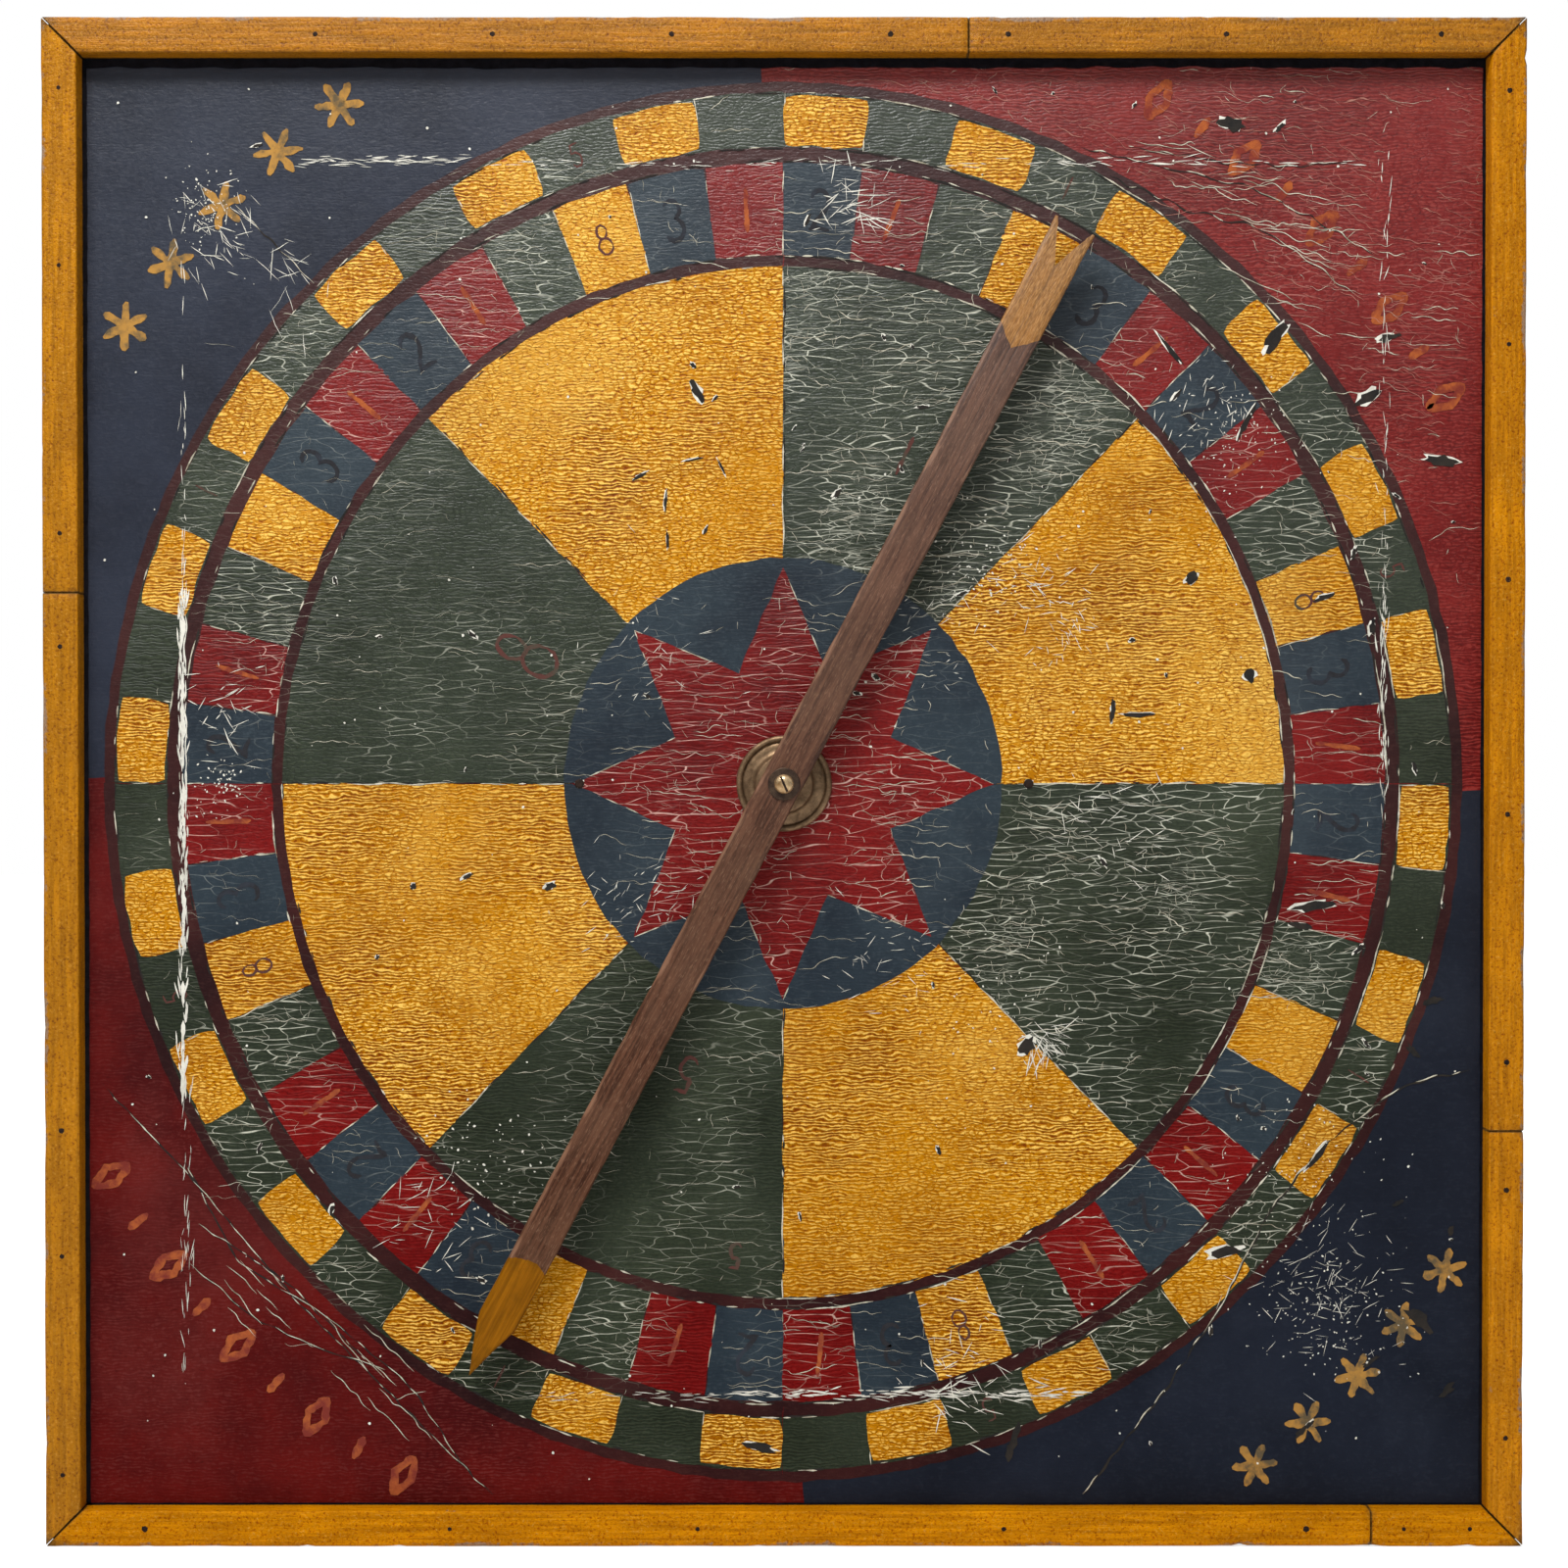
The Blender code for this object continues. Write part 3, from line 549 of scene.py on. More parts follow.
# Near black: the dark outlines and the flaked places, and also the painted shadow beside each long crack.
DARK_CRACK_AND_SHADOW = simple_wear("dark_crack_and_painted_shadow", srgb(22, 21, 20), srgb(48, 42, 36), 90.0, 0.85)
# Near black for the painted shadow laid on the cloth along the inside of the strips.
STRIP_SHADOW_BLACK = simple_wear("painted_shadow_black", srgb(14, 13, 16), srgb(26, 25, 30), 200.0, 0.9, specular=0.05)
MARK_ORANGE = simple_wear("faded_orange", srgb(170, 86, 34), srgb(120, 40, 28), 90.0, 0.7,
                          spread=(0.40, 0.58))
MARK_OCHRE = simple_wear("faded_ochre", srgb(176, 128, 54), srgb(92, 78, 54), 70.0, 0.7, spread=(0.46, 0.60))
MARK_MAROON = simple_wear("faded_maroon", srgb(88, 44, 38), srgb(72, 64, 52), 60.0, 0.7, spread=(0.5, 0.66))
MARK_DARK = simple_wear("faded_black", srgb(30, 29, 33), srgb(44, 50, 60), 60.0, 0.7, spread=(0.5, 0.66))


def strip_paint(name, stretch, dark, light, shine):
    """Ochre brushed along a strip, worn to grey wood on the edges and grimy at the corners."""
    n = Nodes(name, specular=shine)
    streaks = n.noise(n.coords(stretch), 520.0, 4.0, 0.6)
    patches = n.noise(n.coords(), 26.0, 6.0, 0.65, 0.3)
    specks = n.noise(n.coords(), 330.0, 2.0)
    tone = n.mix(n.rise(streaks, 0.34, 0.62), dark, light)
    tone = n.mix(n.rise(patches, 0.36, 0.70, 0.8), tone, dark)
    edge = n.plus(n.attribute("wear"), n.around(patches, 1.6))
    edge = n.plus(edge, n.around(specks, 0.9))
    tone = n.mix(n.rise(edge, 0.62, 0.80, 0.85), tone, srgb(142, 118, 98))
    grime = n.plus(n.attribute("grime"), n.around(patches, 1.2))
    tone = n.mix(n.rise(grime, 0.35, 0.95, 0.80), tone, srgb(76, 58, 30))
    tone = n.mix(n.rise(specks, 0.70, 0.76, 0.8), tone, srgb(58, 36, 16))
    nubs = n.noise(n.coords(), 700.0, 3.0, 0.6)
    # Brush nubs are darkened in their hollows and lightened to pale orange on their tops: painted shade and
    # painted highlight that follow the same noise as the bump.
    tone = n.mix(n.fall(nubs, 0.30, 0.46, 0.75), tone, n.mix(1.0, tone, dark, "MULTIPLY"))
    tone = n.mix(n.rise(nubs, 0.58, 0.75, 0.5), tone, srgb(216, 160, 70))
    relief = n.plus(n.plus(streaks, nubs), n.times(patches, 0.8))
    return n.finish(tone, n.ramp(patches, [(0.3, 0.38), (0.7, 0.58)]), n.bump(relief, 0.0008, 0.7))


def wood(name, stretch, light, dark, ring=0.5):
    """Bare or stained wood with its grain along one axis; the axis has the small number in stretch."""
    n = Nodes(name, 0.75, specular=0.25)
    grain = n.noise(n.shifted(n.coords(stretch), 9.0, 0.02), 120.0, 6.0, 0.65, 0.6)
    fibres = n.noise(n.coords(stretch), 900.0, 3.0)
    stain = n.noise(n.coords(), 7.0, 6.0, 0.6)
    tone = n.mix(n.rise(grain, 0.38, 0.62), light, dark)
    tone = n.mix(n.times(n.rise(fibres, 0.35, 0.7), ring), tone, dark)
    tone = n.mix(n.rise(stain, 0.45, 0.75, 0.55), tone, n.mix(1.0, tone, dark, "MULTIPLY"))
    return n.finish(tone, None, n.bump(n.plus(grain, fibres), 0.0005, 0.5))


def arrow_paint():
    """Dark stained wood with ochre brushed over the point and the notched tail; Y runs along the arrow."""
    n = Nodes("arrow_paint", 0.5, specular=0.5)
    axes = n.axes()
    across, along = axes["X"], axes["Y"]
    grain = n.noise(n.coords((1.0, 0.045, 1.0)), 620.0, 5.0, 0.65, 0.3)
    pores = n.noise(n.coords((1.0, 0.16, 1.0)), 1700.0, 2.0)
    patches = n.noise(n.coords(), 32.0, 5.0, 0.6)
    stain = n.mix(n.rise(grain, 0.38, 0.60), srgb(58, 34, 23), srgb(99, 65, 47))
    stain = n.mix(n.rise(patches, 0.40, 0.75, 0.6), stain, srgb(108, 78, 60))
    stain = n.mix(n.rise(pores, 0.56, 0.70, 0.45), stain, srgb(140, 106, 84))
    edge = n.plus(n.attribute("wear"), n.minus(grain, 0.5))
    stain = n.mix(n.rise(edge, 0.60, 0.95, 0.55), stain, srgb(150, 112, 88))
    ochre = n.mix(n.rise(grain, 0.36, 0.62), srgb(118, 72, 5), srgb(150, 94, 10))
    ochre = n.mix(n.rise(patches, 0.48, 0.70, 0.75), ochre, srgb(82, 52, 6))
    rag = n.times(n.minus(n.noise(n.coords(), 160.0, 3.0), 0.5), 0.003)
    point = n.minus(n.plus(along, rag), POINT_PAINT)
    bow = n.times(n.times(across, across), 30.0)
    point = n.math("GREATER_THAN", n.minus(point, bow), 0.0)
    vee = n.times(n.math("ABSOLUTE", n.minus(across, ARROW_MIDDLE)), 0.9)
    tail = n.minus(n.minus(n.times(along, -1.0), TAIL_PAINT), vee)
    tail = n.math("GREATER_THAN", n.plus(tail, rag), 0.0)
    pale_ochre = n.mix(n.ramp(pores, [(0.42, 0.10), (0.64, 0.95)]), ochre, srgb(176, 126, 66))
    pale_ochre = n.mix(n.fall(grain, 0.34, 0.50, 0.65), pale_ochre, srgb(108, 70, 26))
    tone = n.mix(tail, n.mix(point, stain, ochre), pale_ochre)
    n.polish("Y", ARROW_TIP.length, -ARROW_TAIL, 0.05, 0.85)
    return n.finish(tone, n.ramp(grain, [(0.3, 0.38), (0.8, 0.55)]), n.bump(grain, 0.0005, 0.7))


def brass(name, light, dark, roughness, pitted=0.4):
    """Brass with patina in patches and a fine granular wear."""
    n = Nodes(name, roughness, 0.75, 0.5)
    patina = n.noise(n.coords(), 130.0, 6.0, 0.7, 0.3)
    grains = n.noise(n.coords(), 1300.0, 3.0, 0.6)
    tone = n.mix(n.rise(patina, 0.38, 0.62), light, dark)
    tone = n.mix(n.times(n.rise(grains, 0.45, 0.62), pitted), tone, dark)
    rough = n.ramp(patina, [(0.3, roughness - 0.1), (0.7, roughness + 0.15)])
    return n.finish(tone, rough, n.bump(n.plus(patina, grains), 0.00015, 0.6))


# One copy of the strip paint for each side, with its own base tones: the bottom brightest, then the right,
# the left and the top. These differences are painted light and shade, for how the lamp falls on each strip.
STRIP_PAINTS_SHADED_BY_SIDE = {
    "top": strip_paint("ochre_strip_top", (0.05, 1.0, 1.0), srgb(140, 88, 0), srgb(184, 116, 4), 0.24),
    "left": strip_paint("ochre_strip_left", (1.0, 1.0, 0.05), srgb(152, 96, 0), srgb(192, 125, 2), 0.16),
    "right": strip_paint("ochre_strip_right", (1.0, 1.0, 0.05), srgb(164, 101, 0), srgb(210, 134, 0), 0.10),
    "bottom": strip_paint("ochre_strip_bottom", (0.05, 1.0, 1.0), srgb(174, 107, 0), srgb(220, 142, 0),
                          0.04),
}
PINE_LEVEL = wood("old_pine_level", (0.06, 1.0, 1.0), srgb(178, 142, 98), srgb(112, 78, 46))
PINE_UPRIGHT = wood("old_pine_upright", (1.0, 1.0, 0.06), srgb(178, 142, 98), srgb(112, 78, 46))
ARROW_PAINT = arrow_paint()
HUB_BRASS = brass("aged_brass", srgb(150, 122, 92), srgb(96, 74, 52), 0.50)
RING_BRASS = brass("dark_ring", srgb(92, 74, 58), srgb(44, 30, 26), 0.50)
SCREW_BRASS = brass("bright_brass", srgb(232, 204, 160), srgb(160, 122, 78), 0.28, 0.25)
SLOT_DIRT = simple_wear("slot_dirt", srgb(60, 38, 24), srgb(30, 20, 14), 900.0, 0.7)
RUST = simple_wear("rusted_steel", srgb(48, 30, 20), srgb(26, 18, 14), 300.0, 0.7, 0.3)


def cloth_back():
    """The bare cloth, woven and stained brown."""
    n = Nodes("canvas_weave", 0.9, specular=0.1)
    warp = n.bands(n.coords(), "X", {"Scale": 260.0, "Distortion": 1.5, "Detail Scale": 3.0})
    weft = n.bands(n.coords(), "Z", {"Scale": 260.0, "Distortion": 1.5})
    threads = n.times(warp, weft)
    stain = n.noise(n.coords(), 6.0, 6.0, 0.65, 0.5)
    tone = n.mix(n.rise(stain, 0.35, 0.7), srgb(150, 122, 84), srgb(188, 164, 122))
    tone = n.mix(n.times(n.fall(threads, 0.0, 0.5), 0.45), tone, srgb(104, 82, 56))
    return n.finish(tone, None, n.bump(threads, 0.0003, 0.6))


# ---------------------------------------------------------------- the canvas and its paint

def make_cloth():
    """The stretched cloth itself, seen from behind; it is open under the hub, where the sleeve passes."""
    half_x, half_z = CANVAS_HIGH.x, CANVAS_HIGH.z
    columns = int(2 * half_x / GRID) + 1
    rows = int(2 * half_z / GRID) + 1
    x, z = np.meshgrid(np.linspace(-half_x, half_x, columns), np.linspace(-half_z, half_z, rows))
    points = at(x, z, 0.0).reshape(-1, 3)
    faces = []
    for face in grid_faces(rows, columns):
        middle = sum((points[i] for i in face), np.zeros(3)) / 4
        if math.hypot(middle[0], middle[2]) > HUB_RADIUS * 0.5:
            faces.append(face)
    cloth = new_object("canvas_cloth", points, faces, cloth_back())
    solid = cloth.modifiers.new("thickness", "SOLIDIFY")
    solid.thickness = CLOTH_FRONT - CLOTH_BACK + CLOTH_EXTRA
    solid.offset = -1.0
    return cloth


def make_fields():
    """The four corner fields: two blue, two red, meeting on hand-drawn lines through the centre."""
    def split_x(z):
        return -0.0005 - 0.012 * z / OPEN_Z + 0.0012 * waves(z, z * 0, 0.05, 31)

    def split_z(x):
        return -0.0004 - 0.0035 * x / OPEN_X + 0.0012 * waves(x, x * 0, 0.05, 32)

    count = int(OPEN_X / GRID) + 2
    reach_x = OPEN_X + 0.003
    reach_z = OPEN_Z + 0.003
    share = np.linspace(0, 1, count)
    made = []
    corners = (("top_left", -1, 1, "field_blue"), ("top_right", 1, 1, "field_red_top"),
               ("bottom_left", -1, -1, "field_red_low"), ("bottom_right", 1, -1, "field_blue_low_shaded"))
    for name, sign_x, sign_z, look in corners:
        u, v = np.meshgrid(share, share)
        flat_x = sign_x * reach_x * u
        flat_z = sign_z * reach_z * v
        x = split_x(flat_z) * (1 - u) + sign_x * reach_x * u
        z = split_z(flat_x) * (1 - v) + sign_z * reach_z * v
        points = at(x, z, GROUND)
        rows, columns = points.shape[:2]
        faces = grid_faces(rows, columns, flip=sign_x * sign_z < 0)
        made.append(new_object("paint_field_" + name, points.reshape(-1, 3), faces, LOOKS[look]))
        set_cracked(made[-1])
    return made


def make_dial():
    """Rings, cells, sectors, disc and star, each colour of each quarter one mesh."""
    quarter = CELLS // 4
    for q in range(4):
        start = q * quarter * CELL
        end = start + quarter * CELL
        lines = Sheet()
        lines.add(polar_patch(DISC_RADIUS - 0.004, OUTER_LINE, start, end, LINES, q, 0.0006))
        lines.make(f"paint_ring_lines_{q + 1}", LOOKS["maroon"])
        colours = {"yellow": Sheet(), "green": Sheet(), "red": Sheet(), "blue": Sheet()}
        colours["green"].add(polar_patch(OUTER_BAND_IN, OUTER_BAND, start, end, BANDS, q))
        outer = Sheet()
        for k in range(q * quarter, (q + 1) * quarter):
            a = k * CELL
            if k % 2 == 0:
                outer.add(polar_patch(OUTER_BAND_IN + 0.0006, OUTER_BAND - 0.0012, a + CELL_GAP,
                                      a + CELL - CELL_GAP, CELLS_ON_BAND, k, 0.0006, 0.05))
            sheet = colours[OCTANT_COLOURS[k % 6]]
            sheet.add(polar_patch(INNER_BAND_IN, INNER_BAND, a, a + CELL, BANDS, 50 + k, 0.0005, 0.01))
        for k in range(q * 2, q * 2 + 2):
            a = k * EIGHTH
            sheet = colours[SECTOR_COLOURS[k % 2]]
            sheet.add(polar_patch(DISC_RADIUS - 0.003, SECTOR_OUT, a, a + EIGHTH, BANDS, 300 + k))
        outer.make(f"paint_outer_cells_{q + 1}", LOOKS["yellow"])
        for colour, sheet in colours.items():
            sheet.make(f"paint_{colour}_{q + 1}", LOOKS[colour])
        disc = Sheet()
        disc.add(polar_patch(PAINT_IN, DISC_RADIUS, start, end, CELLS_ON_BAND, 400 + q, 0.0006))
        disc.make(f"paint_disc_{q + 1}", LOOKS["blue"])
    star = Sheet()
    u = np.linspace(0, 1, 18)[None, :]
    v = np.linspace(0.0, 1, 26)[:, None]
    for k in range(8):
        for side in (0, 1):
            tip = k * EIGHTH
            valley = tip + (EIGHTH / 2 if side else -EIGHTH / 2)
            tip_x, tip_z = polar(PAINT_IN + (STAR_RADIUS - PAINT_IN) * v, tip)
            dip_x, dip_z = polar(PAINT_IN + (STAR_VALLEY - PAINT_IN) * v, valley)
            x = tip_x * (1 - u) + dip_x * u
            z = tip_z * (1 - u) + dip_z * u
            edge = v ** 12 * 0.0005
            x = x + edge * waves(x, z, 0.015, 61)
            z = z + edge * waves(x, z, 0.015, 62)
            layer = at(x, z, STAR)
            star.add(layer if side else layer[:, ::-1])
    star.make("paint_star", LOOKS["red"])


# ---------------------------------------------------------------- numbers and marks

DIGITS = {
    "1": [[(0.42, 0.0), (0.56, 1.0)]],
    "2": [arc((0.5, 0.72), (0.34, 0.27), 165, -40) + [(0.15, 0.04)],
          [(0.10, 0.02), (0.45, 0.08), (0.9, 0.0)]],
    "3": [arc((0.45, 0.75), (0.33, 0.24), 150, -80), arc((0.45, 0.27), (0.38, 0.27), 85, -150)],
    "5": [[(0.82, 0.98), (0.3, 0.96), (0.24, 0.58)] + arc((0.45, 0.31), (0.36, 0.30), 110, -150)],
    "8": [arc((0.5, 0.74), (0.27, 0.23), 0, 360, 16), arc((0.5, 0.27), (0.36, 0.27), 0, 360, 16)],
}


def evenly(points, step):
    """The line through the points, with new points about step apart, and how far along each of them is."""
    along = np.concatenate([[0], np.cumsum(np.linalg.norm(np.diff(points, axis=0), axis=1))])
    even = np.linspace(0, along[-1], max(6, int(along[-1] / step)))
    return np.stack([np.interp(even, along, points[:, k]) for k in (0, 1)], axis=1), even


def stroke_points(line, centre, up, height, width, shake):
    """A stroke laid on the board with a shaking hand: up is the direction of its top, as (x, z)."""
    up = np.array(up) / np.linalg.norm(up)
    right = np.array([up[1], -up[0]])
    points = [centre + right * (u - 0.5) * width + up * (v - 0.5) * height for u, v in line]
    points, _ = evenly(np.array(points), 0.002)
    return points + shake * rng.normal(size=points.shape)


def thin_ends(count, rate, least):
    """Widths along a line of so many points: 1 in the middle, and falling towards both ends."""
    t = np.linspace(0, 1, count)
    return np.minimum(1.0, np.minimum(t, 1 - t) * rate + least)


def thin_tips(count, points):
    """The same, but the fall takes about so many points at each end."""
    steps = np.arange(count)
    return np.minimum(1, np.minimum(steps, steps[::-1]) / points + 0.2)


def brushed(points, width):
    """A brush stroke: full in the middle and thin at both ends."""
    uneven = 1 + 0.22 * waves(points[:, 0], points[:, 1], 0.006, 71)
    return points, width * thin_ends(len(points), 7, 0.35) * uneven


def dial_place(radius, angle):
    """A point on the dial, and the outward direction there."""
    x, z = polar(radius, angle)
    beyond_x, beyond_z = polar(radius + 0.01, angle)
    return (float(x), float(z)), (float(beyond_x - x), float(beyond_z - z))


def leaned(direction, lean):
    """A direction on the board, turned by an angle."""
    turned = complex(math.cos(lean), math.sin(lean)) * complex(*direction)
    return turned.real, turned.imag


def write_digit(strands, digit, radius, angle, height, stroke, lean=0.0):
    """A digit standing on the dial with its top outwards."""
    centre, up = dial_place(radius, angle)
    for line in DIGITS[digit]:
        points = stroke_points(line, centre, leaned(up, lean), height, height * 0.62, 0.00012)
        strands.append(brushed(points, stroke))


def make_numerals():
    """Faded hand-painted numbers in the cells, tops outwards, and a few large ones in the green sectors."""
    orange, dark, maroon = [], [], []
    middle = (INNER_BAND + INNER_BAND_IN) / 2
    outer = (OUTER_BAND + OUTER_BAND_IN) / 2
    for k in range(CELLS):
        angle = (k + 0.5) * CELL
        lean = float(rng.uniform(-0.12, 0.12))
        colour = OCTANT_COLOURS[k % 6]
        if colour == "red":
            write_digit(orange, "1", middle, angle, 0.024, 0.0026, lean)
        elif colour == "blue":
            write_digit(dark, "2" if k % 6 == 0 else "3", middle, angle, 0.022, 0.0024, lean)
        elif colour == "yellow" and k % 4 < 3:
            write_digit(maroon, "8" if k % 4 else "5", middle, angle, 0.017, 0.0012, lean)
        if k % 2 and k % 3 == 0:
            write_digit(maroon, "5" if k % 4 == 1 else "1", outer, angle, 0.013, 0.0011, lean)
    for digit, radius, degrees, height in (("8", 0.153, 296.0, 0.036), ("5", 0.160, 199.0, 0.020),
                                           ("5", 0.247, 186.0, 0.014), ("1", 0.182, 21.0, 0.022)):
        write_digit(maroon, digit, radius, math.radians(degrees), height, 0.0021)
    for name, strands, look in (("orange", orange, MARK_ORANGE), ("dark", dark, MARK_DARK),
                                ("maroon", maroon, MARK_MAROON)):
        verts, faces = ribbons(strands, NUMERALS)
        new_object("paint_numbers_" + name, verts, faces, look)


def make_corner_marks():
    """Plain painted ornaments in the corner fields: stars in the blue corners, lozenges in the red ones."""
    for name, corner, count, spread, radius, look, height in (
            ("top_left", 315.0, 5, 11.0, 0.424, MARK_OCHRE, 0.030),
            ("bottom_right", 135.0, 5, 9.5, 0.436, MARK_OCHRE, 0.028),
            ("top_right", 45.0, 9, 15.5, 0.407, MARK_ORANGE, 0.024),
            ("bottom_left", 225.0, 9, 15.5, 0.414, MARK_ORANGE, 0.024)):
        strands = []
        for k in range(count):
            angle = math.radians(corner + spread * (2 * k / (count - 1) - 1))
            centre, up = dial_place(radius, angle)
            up = leaned(up, float(rng.uniform(-0.1, 0.1)))
            if look is MARK_OCHRE:
                lines = [arc((0.5, 0.5), (0.80, 0.44), turned, turned + 180, 2) for turned in (90, 30, 150)]
            elif k % 2 == 0:
                lines = [[(0.5, 1.0), (0.12, 0.5), (0.5, 0.0)], [(0.5, 1.0), (0.88, 0.5), (0.5, 0.0)]]
            else:
                lines = [[(0.5, 0.78), (0.5, 0.22)]]
            for line in lines:
                points = stroke_points(line, centre, up, height, height * 0.55, 0.0002)
                strands.append(brushed(points, 0.0042))
        verts, faces = ribbons(strands, NUMERALS)
        new_object("paint_ornament_" + name, verts, faces, look)


# ---------------------------------------------------------------- cracks, scuffs and flakes

def dial_polar(x, z):
    """The dial radius and clockwise angle of points on the board."""
    across = x - DIAL_CENTRE[0]
    up = (z - DIAL_CENTRE[1]) / TALL
    return np.hypot(across, up), np.arctan2(across, up) % (2 * math.pi)


def in_star(radius, angle):
    half = EIGHTH / 2
    off_tip = np.abs((angle + half) % (2 * half) - half)
    limit = STAR_RADIUS * STAR_VALLEY * math.sin(half) / (
        STAR_RADIUS * np.sin(off_tip) + STAR_VALLEY * np.sin(half - off_tip))
    return radius < limit


# How badly each eighth of the dial is cracked, clockwise from the top.
SECTOR_CRACKS = np.array([0.95, 0.08, 0.95, 0.06, 0.40, 0.04, 0.36, 0.06])
RING_CRACKS = {"blue": 0.5, "red": 0.6, "green": 0.95, "yellow": 0.12}


def crack_density(x, z):
    """From 0, sound paint, to 1, paint cracked all over."""
    radius, angle = dial_polar(x, z)
    eighth = (angle / (EIGHTH)).astype(int) % 8
    cell = (angle / CELL).astype(int) % CELLS
    ring = np.array([RING_CRACKS[c] for c in OCTANT_COLOURS])[cell % 6]
    amount = np.full(np.shape(x), 0.10)
    amount = np.where(radius < OUTER_LINE, 0.25, amount)
    in_outer_band = (radius < OUTER_BAND) & (radius > OUTER_BAND_IN)
    amount = np.where(in_outer_band, np.where(cell % 2 == 0, 0.10, 0.85), amount)
    amount = np.where((radius < INNER_BAND) & (radius > INNER_BAND_IN), ring, amount)
    amount = np.where(radius < SECTOR_OUT, SECTOR_CRACKS[eighth], amount)
    amount = np.where(radius < DISC_RADIUS, 0.36, amount)
    amount = np.where(in_star(radius, angle), 1.0, amount)
    inside = (np.abs(x) < BAR_X + 0.004) & (np.abs(z) < BAR_Z + 0.004)
    amount = np.where(inside, amount, amount * 0.22)
    upper_right = np.clip((x + z) / 0.5, 0, 1)
    amount = np.where(radius > OUTER_LINE, amount + 0.35 * upper_right * (x > 0) * (z > 0.1), amount)
    patchy = 0.66 + 0.36 * waves(x, z, 0.09, 81)
    return np.clip(amount * patchy, 0, 1)


def crack_angle(x, z):
    """Cracks run mostly sideways, and wander."""
    return 0.14 * waves(x, z, 0.14, 82) + 0.20 * waves(x, z, 0.030, 83) + 0.50 * waves(x, z, 0.0065, 84)


def grow(x, z, heading, length, width, step=0.0013, follow=1.0):
    """Walks many cracks at once; each stops at its length or where the paint is sound."""
    steps = int(length.max() / step) + 1
    track = [(x.copy(), z.copy())]
    alive = np.ones(len(x), bool)
    count = np.ones(len(x), int)
    for i in range(steps):
        turn = heading + follow * crack_angle(x, z) + (1 - follow) * 1.2 * waves(x, z, 0.008, 85)
        x = x + step * np.cos(turn)
        z = z + step * np.sin(turn)
        alive &= (i * step < length) & (crack_density(x, z) > 0.09)
        alive &= (np.abs(x) < OPEN_X - 0.002) & (np.abs(z) < OPEN_Z - 0.002)
        alive &= np.hypot(x, z) > HUB_RADIUS * 0.9
        count[alive] += 1
        track.append((x.copy(), z.copy()))
    track = np.array(track)
    strands = []
    for k, n in enumerate(count):
        if n < 3:
            continue
        points = track[:n, :, k]
        paler = 0.62 + 0.50 * np.clip((points[:, 0] + 0.8 * OPEN_X) / OPEN_X, 0, 1)
        uneven = 1 + 0.35 * waves(points[:, 0], points[:, 1], 0.004, 86)
        strands.append((points, width[k] * thin_ends(n, 5, 0.25) * paler * uneven))
    return strands


def seeds(pitch_x, pitch_z, power=1.0):
    """Jittered starting points, kept where the paint is cracked."""
    x, z = np.meshgrid(np.arange(-OPEN_X, OPEN_X, pitch_x), np.arange(-OPEN_Z, OPEN_Z, pitch_z))
    x = (x + rng.uniform(-0.5, 0.5, x.shape) * pitch_x).ravel()
    z = (z + rng.uniform(-0.5, 0.5, z.shape) * pitch_z).ravel()
    keep = rng.uniform(size=x.shape) < crack_density(x, z) ** power
    return x[keep], z[keep]


def make_by_quarter(name, strands, layer, look):
    """One mesh of ribbons for each quarter of the board."""
    groups = {}
    for strand in strands:
        middle = strand[0][len(strand[0]) // 2]
        key = ("top" if middle[1] > 0 else "bottom") + ("_right" if middle[0] > 0 else "_left")
        groups.setdefault(key, []).append(strand)
    for key, group in groups.items():
        new_object(f"{name}_{key}", *ribbons(group, layer), look)


def either(count, first, second):
    """One of two values for each of so many, by chance."""
    return np.where(rng.uniform(size=count) < 0.5, first, second)


def make_cracks():
    """Long sideways cracks, and short ones that join them into a net."""
    x, z = seeds(0.026, 0.0056)
    long_cracks = grow(x, z, either(len(x), 0.0, math.pi), rng.uniform(0.006, 0.036, len(x)),
                       0.00012 + 0.00028 * rng.uniform(size=len(x)) ** 2.0)
    x, z = seeds(0.0110, 0.0078, 1.5)
    turn = rng.uniform(0.7, 2.4, len(x)) * either(len(x), 1, -1)
    links = grow(x, z, turn, rng.uniform(0.0025, 0.0070, len(x)), rng.uniform(0.00009, 0.00022, len(x)),
                 step=0.0010, follow=0.4)
    make_by_quarter("cracks", long_cracks, CRACKS, CRACK_LOOK)
    make_by_quarter("crack_links", links, CRACKS, CRACK_LOOK)


def make_fine_cracks():
    """Close sideways wrinkles with worn crests in the upper right field."""
    x, z = np.meshgrid(np.arange(0.02, OPEN_X - 0.01, 0.020), np.arange(0.06, OPEN_Z - 0.01, 0.0030))
    x = (x + rng.uniform(-0.01, 0.01, x.shape)).ravel()
    z = (z + rng.uniform(-0.0015, 0.0015, z.shape)).ravel()
    radius, _ = dial_polar(x, z)
    keep = rng.uniform(size=x.shape) < 0.80 - 0.9 * np.clip(0.22 - z, 0, 1) / 0.2
    keep &= radius > OUTER_LINE + 0.002
    x, z = x[keep], z[keep]
    strands = grow(x, z, either(len(x), -0.25, math.pi - 0.25), rng.uniform(0.003, 0.020, len(x)),
                   rng.uniform(0.00012, 0.00032, len(x)))
    new_object("fine_cracks_top_right", *ribbons(strands, CRACKS), FINE_LOOK)


def outline_strand(radius, first, last, step=0.0020):
    """Points round the dial at one radius."""
    count = max(4, int((last - first) * radius / step))
    angle = np.linspace(first, last, count)
    x, z = polar(radius + 0.0004 * waves(angle * radius, angle * 0, 0.02, 91), angle)
    return np.stack([x, z], axis=1)


